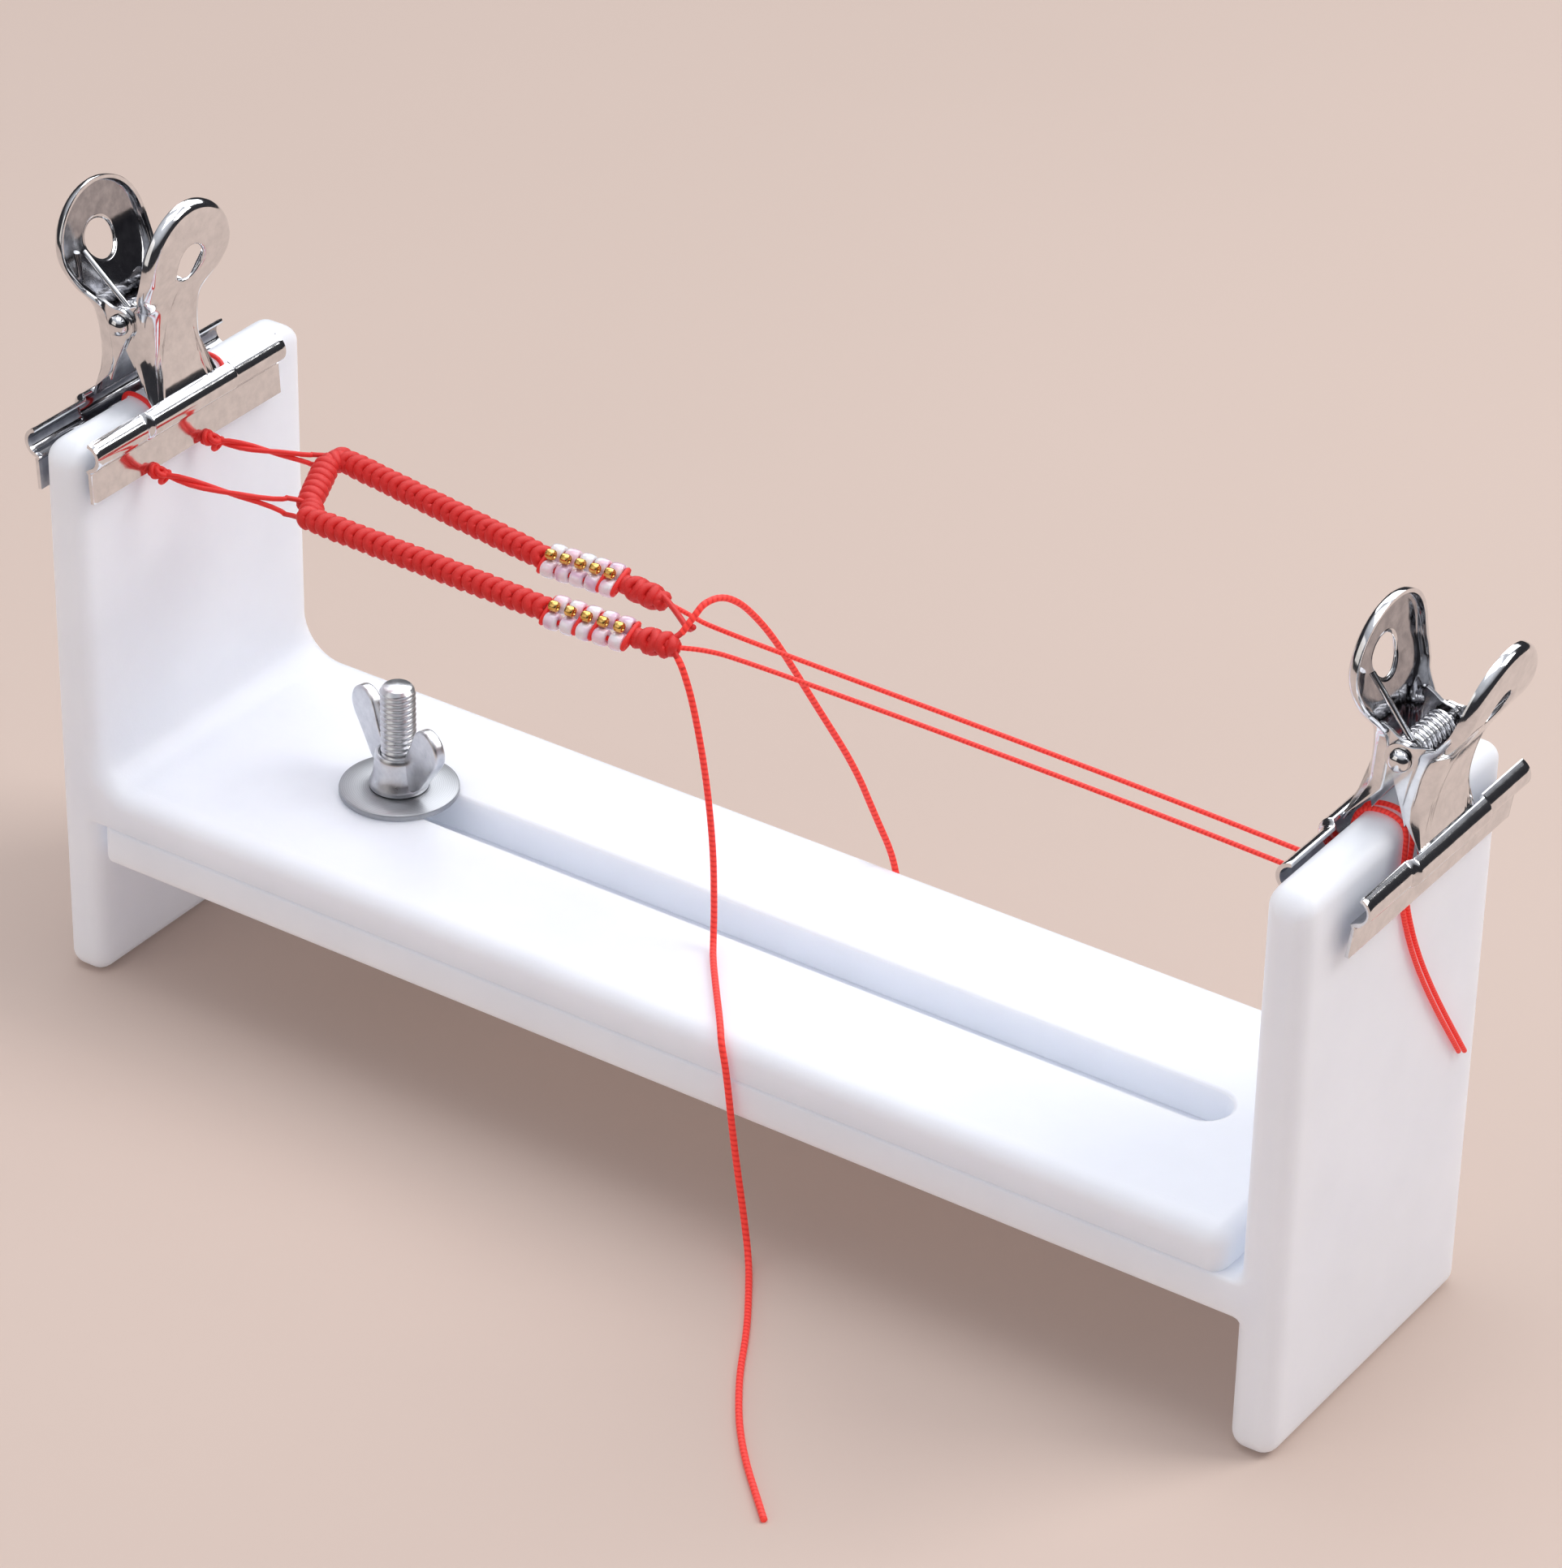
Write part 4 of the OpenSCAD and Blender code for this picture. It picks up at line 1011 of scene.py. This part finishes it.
def knotted_rod(a, b, width, height, pitch, thread, lean, end, seed, cross=False):
    """A row of square knots from a to b: slanting loops of thread side by side round a core.

    At both ends they are only end times as wide. With cross, every other loop leans the other way.
    """
    rng = np.random.RandomState(seed)
    a, b = np.array(a, float), np.array(b, float)
    L = np.linalg.norm(b - a)
    ax = (b - a) / L
    side = np.cross([0, 0, 1.0], ax)
    side /= np.linalg.norm(side)
    upv = np.cross(ax, side)
    count = max(3, int(round((L - thread) / pitch)) + 1)
    parts = []
    S, C = 28, 8
    for i in range(count):
        t = i / (count - 1)
        centre = a + ax * (thread / 2 + (L - thread) * t)
        grow = end + (1 - end) * min(1.0, math.sin(math.pi * t) * 3.0)
        w = (width / 2 - thread / 2) * grow * (1 + 0.03 * rng.uniform(-1, 1))
        h = (height / 2 - thread / 2) * grow * (1 + 0.03 * rng.uniform(-1, 1))
        sl = math.tan(math.radians(lean)) * (1 if i % 2 else (-0.9 if cross else 0.75))
        pts = []
        for k in range(S):
            q = 2 * math.pi * k / S
            cy, cz = math.cos(q), math.sin(q)
            # a loop leans one way above and the other way below, and is drawn in at its sides
            slide = sl * w * cy * (1 if cz > 0 else -1) * abs(cz) ** 0.6
            pts.append(centre + side * w * cy + upv * h * cz
                       + ax * (slide * 0.6 + 0.06 * rng.uniform(-1, 1)))
        rings = []
        for k in range(S):
            tg = pts[(k + 1) % S] - pts[k - 1]
            tg /= np.linalg.norm(tg)
            out = pts[k] - centre
            out -= out.dot(tg) * tg
            out /= np.linalg.norm(out)
            bi = np.cross(tg, out)
            rings.append([pts[k] + thread / 2 * (x * out + 1.08 * y * bi) for x, y, _ in circle(1.0, 0, C)])
        verts = [p for r in rings for p in r]
        faces = []
        for k in range(S):
            for c in range(C):
                p0, p1 = k * C + c, k * C + (c + 1) % C
                q0, q1 = ((k + 1) % S) * C + c, ((k + 1) % S) * C + (c + 1) % C
                faces.append((p0, p1, q1, q0))
        parts.append((verts, faces))
    core = [a + (b - a) * t for t in np.linspace(0.01, 0.99, 24)]
    parts.append(tube_part(core, min(width, height) / 2 * 0.62, 12))
    return join_parts(parts)


def piece(name, node, part, mat=KNOTTED):
    """A piece of the bracelet."""
    ob = obj_from(name, *part, mat)
    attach(ob, "base")
    if node:
        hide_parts(node)


piece("braid_bar_knots", "braid_bar",
      knotted_rod(*BAR, BRAID_D, BRAID_D * 0.9, pitch=2.1, thread=2.0, lean=34, end=0.92, seed=5))
for which, (p0, p1, p2, p3, kd) in LEGS.items():
    piece("braid_%s_leg_knots" % which, "braid_%s_leg" % which,
          knotted_rod(p0, p1, BRAID_D, BRAID_D * 0.92, pitch=2.0, thread=1.72, lean=40, end=0.9, seed=7))
    k0 = tuple(np.array(p2) + (0.3, 0, 0))
    piece("knot_%s_wrap" % which, "knot_" + which,
          knotted_rod(k0, p3, kd, kd * 0.95, pitch=1.5, thread=1.6, lean=36, end=0.66, seed=11, cross=True))

# Where the bar meets the legs, the anchor strands go in, and the loose ends leave the front knot
corners = [knotted_rod(a, b, 4.3, 3.9, pitch=1.7, thread=1.8, lean=30, end=0.9, seed=seed)
           for a, b, seed in (((31.5, -3.9, WORK_Z), (34.0, -8.0, WORK_Z), 21),
                              ((24.5, 7.8, WORK_Z), (26.0, 11.6, WORK_Z), 22))]
for key, targets in (("anchor_cord_front", ((32.6, -8.2, 88.3), (31.0, -4.4, 89.0))),
                     ("anchor_cord_back", ((26.0, 7.4, 88.9), (25.0, 10.6, 88.9)))):
    near = sorted(STRAND_ENDS[key], key=lambda q: q[1])
    for q, target in zip(near, targets):
        mid = (q + np.array(target)) / 2 + (0, 0, 0.15)
        corners.append(tube_part(smooth_path([q - (0.4, 0, 0), q, mid, target], 2), STRAND_R, 10))
for route in ([(103.6, -6.6, 89.4), (104.4, -5.9, 89.8), LOOPED[0], LOOPED[1]],
              [(103.8, -7.0, 88.2), (105.0, -7.1, 87.9), HANGING[0], HANGING[1]],
              [(93.6, 4.6, 89.6), (96.2, 3.4, 89.5), (100.2, 1.0, 89.1), (104.6, -2.6, 89.6),
               (106.2, -3.6, 91.2)]):
    corners.append(tube_part(smooth_path(route, 3), 0.5, 12))
piece("braid_joining_strands", None, join_parts(corners))

BEAD_COUNT, BEAD_D, BEAD_LEN, GOLD_D, GOLD_LEN = 5, 3.0, 2.4, 1.8, 1.5


def bead_step(a, b, i):
    """Place of the bead in a row."""
    a, b = np.array(a, float), np.array(b, float)
    return a + (b - a) * ((i + 0.6) / (BEAD_COUNT + 0.2))


def bead_part(place, ax, outer, length, hole):
    """A bead with rounded ends: a squarish ring turned round its hole."""
    mid, half = (outer / 2 + hole) / 2, (outer / 2 - hole) / 2
    prof = []
    for c, s, _ in circle(1.0, 0, 18):
        prof.append((mid + half * math.copysign(abs(c) ** 0.8, c),
                     length / 2 * math.copysign(abs(s) ** 0.7, s)))
    prof.append(prof[0])
    m = Vector(ax).to_track_quat("Z", "Y").to_matrix().to_4x4()
    return placed(lathe(prof, 28), Matrix.Translation(Vector(place)) @ m)


for which, (_, p1, p2, _, _) in LEGS.items():
    ax = np.array(p2) - np.array(p1)
    ax /= np.linalg.norm(ax)
    side = np.cross([0, 0, 1.0], ax)
    side /= np.linalg.norm(side)
    pale, gold, cords = [], [], []
    for row in (-1, 1):
        offset = row * (BEAD_D / 2 + 0.1) * (0.86 * side + np.array([0, 0, 0.5]))
        for i in range(BEAD_COUNT):
            pale.append(bead_part(bead_step(p1, p2, i) + offset, ax, BEAD_D, BEAD_LEN, 0.4))
        line = [bead_step(p1, p2, i) + offset for i in np.linspace(-0.9, BEAD_COUNT - 0.45, 9)]
        cords.append(tube_part(line, 0.34, 10))
    for i in ((-0.5, 1.5, 2.5, 4.5) if which == "front" else (-0.5, 3.5, 4.5)):
        c, loop = bead_step(p1, p2, i), []
        for k in range(25):
            q = 2 * math.pi * k / 24
            loop.append(c + 2.35 * math.cos(q) * (side + (0, 0, 0.35))
                        + np.array([0, 0, 1.25 * math.sin(q)]) + 0.4 * math.sin(q) * ax)
        cords.append(tube_part(loop, STRAND_R, 8))
    groove = 0.66 * BEAD_D * np.array([-0.5 * side[0], -0.5 * side[1], 0.86])
    for i in range(BEAD_COUNT):
        gold.append(bead_part(bead_step(p1, p2, i) + groove, ax, GOLD_D, GOLD_LEN, 0.3))
    piece("pale_beads_%s_strung" % which, "pale_beads_" + which, join_parts(pale), BEADS)
    piece("gold_beads_%s_strung" % which, "gold_beads_" + which, join_parts(gold), GOLD)
    piece("bead_cords_" + which, None, join_parts(cords), CORD)

# ---------------------------------------------------------------- room
MIDDLE_X, FLOOR_R = 110, 900
rim = [(MIDDLE_X + x, y, z) for x, y, z in circle(FLOOR_R, 0, 96)]
floor = obj_from("floor", rim, [tuple(range(96))], floor_material(), smooth=False)

world = bpy.data.worlds.new("studio")
bpy.context.scene.world = world
world.use_nodes = True
wn = world.node_tree
wn.nodes.clear()
tc = wn.nodes.new("ShaderNodeTexCoord")
sep = wn.nodes.new("ShaderNodeSeparateXYZ")
wn.links.new(tc.outputs["Generated"], sep.inputs["Vector"])
path = wn.nodes.new("ShaderNodeLightPath")


def sky(stops, strength):
    """A background whose colour goes with the height of the direction."""
    b = wn.nodes.new("ShaderNodeBackground")
    half = maprange(wn, sep.outputs["Z"], 0.0, 1.0)
    half.inputs["From Min"].default_value = -1.0
    b.inputs["Strength"].default_value = strength
    wn.links.new(ramp(wn, half.outputs["Result"], stops).outputs["Color"], b.inputs["Color"])
    return b


def either(fac, a, b):
    """The first background, or the second where the factor is 1."""
    m = wn.nodes.new("ShaderNodeMixShader")
    wn.links.new(fac, m.inputs[0])
    wn.links.new(a.outputs[0], m.inputs[1])
    wn.links.new(b.outputs[0], m.inputs[2])
    return m


# The room as it lights the scene, as polished metal mirrors it, and as the camera sees it
soft = sky([(0.5, (0.50, 0.43, 0.38)), (0.68, (0.42, 0.40, 0.40)), (0.81, (0.16, 0.16, 0.18)),
            (1.0, (0.80, 0.83, 0.92))], 1.12)
mirror = sky([(0.0, (0.30, 0.25, 0.22)), (0.42, (0.06, 0.055, 0.055)), (0.5, (0.03, 0.03, 0.035)),
              (0.72, (0.035, 0.035, 0.04)), (0.80, (0.35, 0.36, 0.39)), (1.0, (0.85, 0.88, 0.95))], 1.0)
plain = sky([(0.0, (0.72, 0.60, 0.52)), (1.0, (0.74, 0.62, 0.54))], 1.0)
out = wn.nodes.new("ShaderNodeOutputWorld")
unseen = either(path.outputs["Is Glossy Ray"], soft, mirror)
wn.links.new(either(path.outputs["Is Camera Ray"], unseen, plain).outputs[0], out.inputs["Surface"])


def area_light(name, where, target, size, power, color=(1, 1, 1), size_y=None):
    ld = bpy.data.lights.new(name, "AREA")
    ld.energy = power
    ld.color = color
    ld.size = size
    if size_y:
        ld.shape = "RECTANGLE"
        ld.size_y = size_y
    ob = bpy.data.objects.new(name, ld)
    ob.location = where
    ob.rotation_euler = (Vector(target) - Vector(where)).to_track_quat("-Z", "Y").to_euler()
    bpy.context.scene.collection.objects.link(ob)
    return ob


JIG = (0.11, 0, 0.05)
area_light("key", (1.05, 0.75, 1.25), JIG, 0.8, 12.8, (1.0, 0.985, 0.97))
area_light("top", (0.0, 0.1, 1.5), JIG, 1.0, 7.6, (0.96, 0.98, 1.0))
area_light("fill", (-0.6, -1.4, 0.8), JIG, 1.2, 3.6, (1.0, 0.95, 0.90))
# A near window that only the metal mirrors
window = area_light("window", (-0.14, 0.46, 0.52), (0, 0, 0.1), 0.85, 3.2, (0.97, 0.98, 1.0), size_y=0.42)
window.visible_diffuse = False

scene = bpy.context.scene
scene.view_settings.view_transform = "Standard"
scene.view_settings.look = "None"
scene.view_settings.exposure = 0.0
scene.view_settings.gamma = 1.0
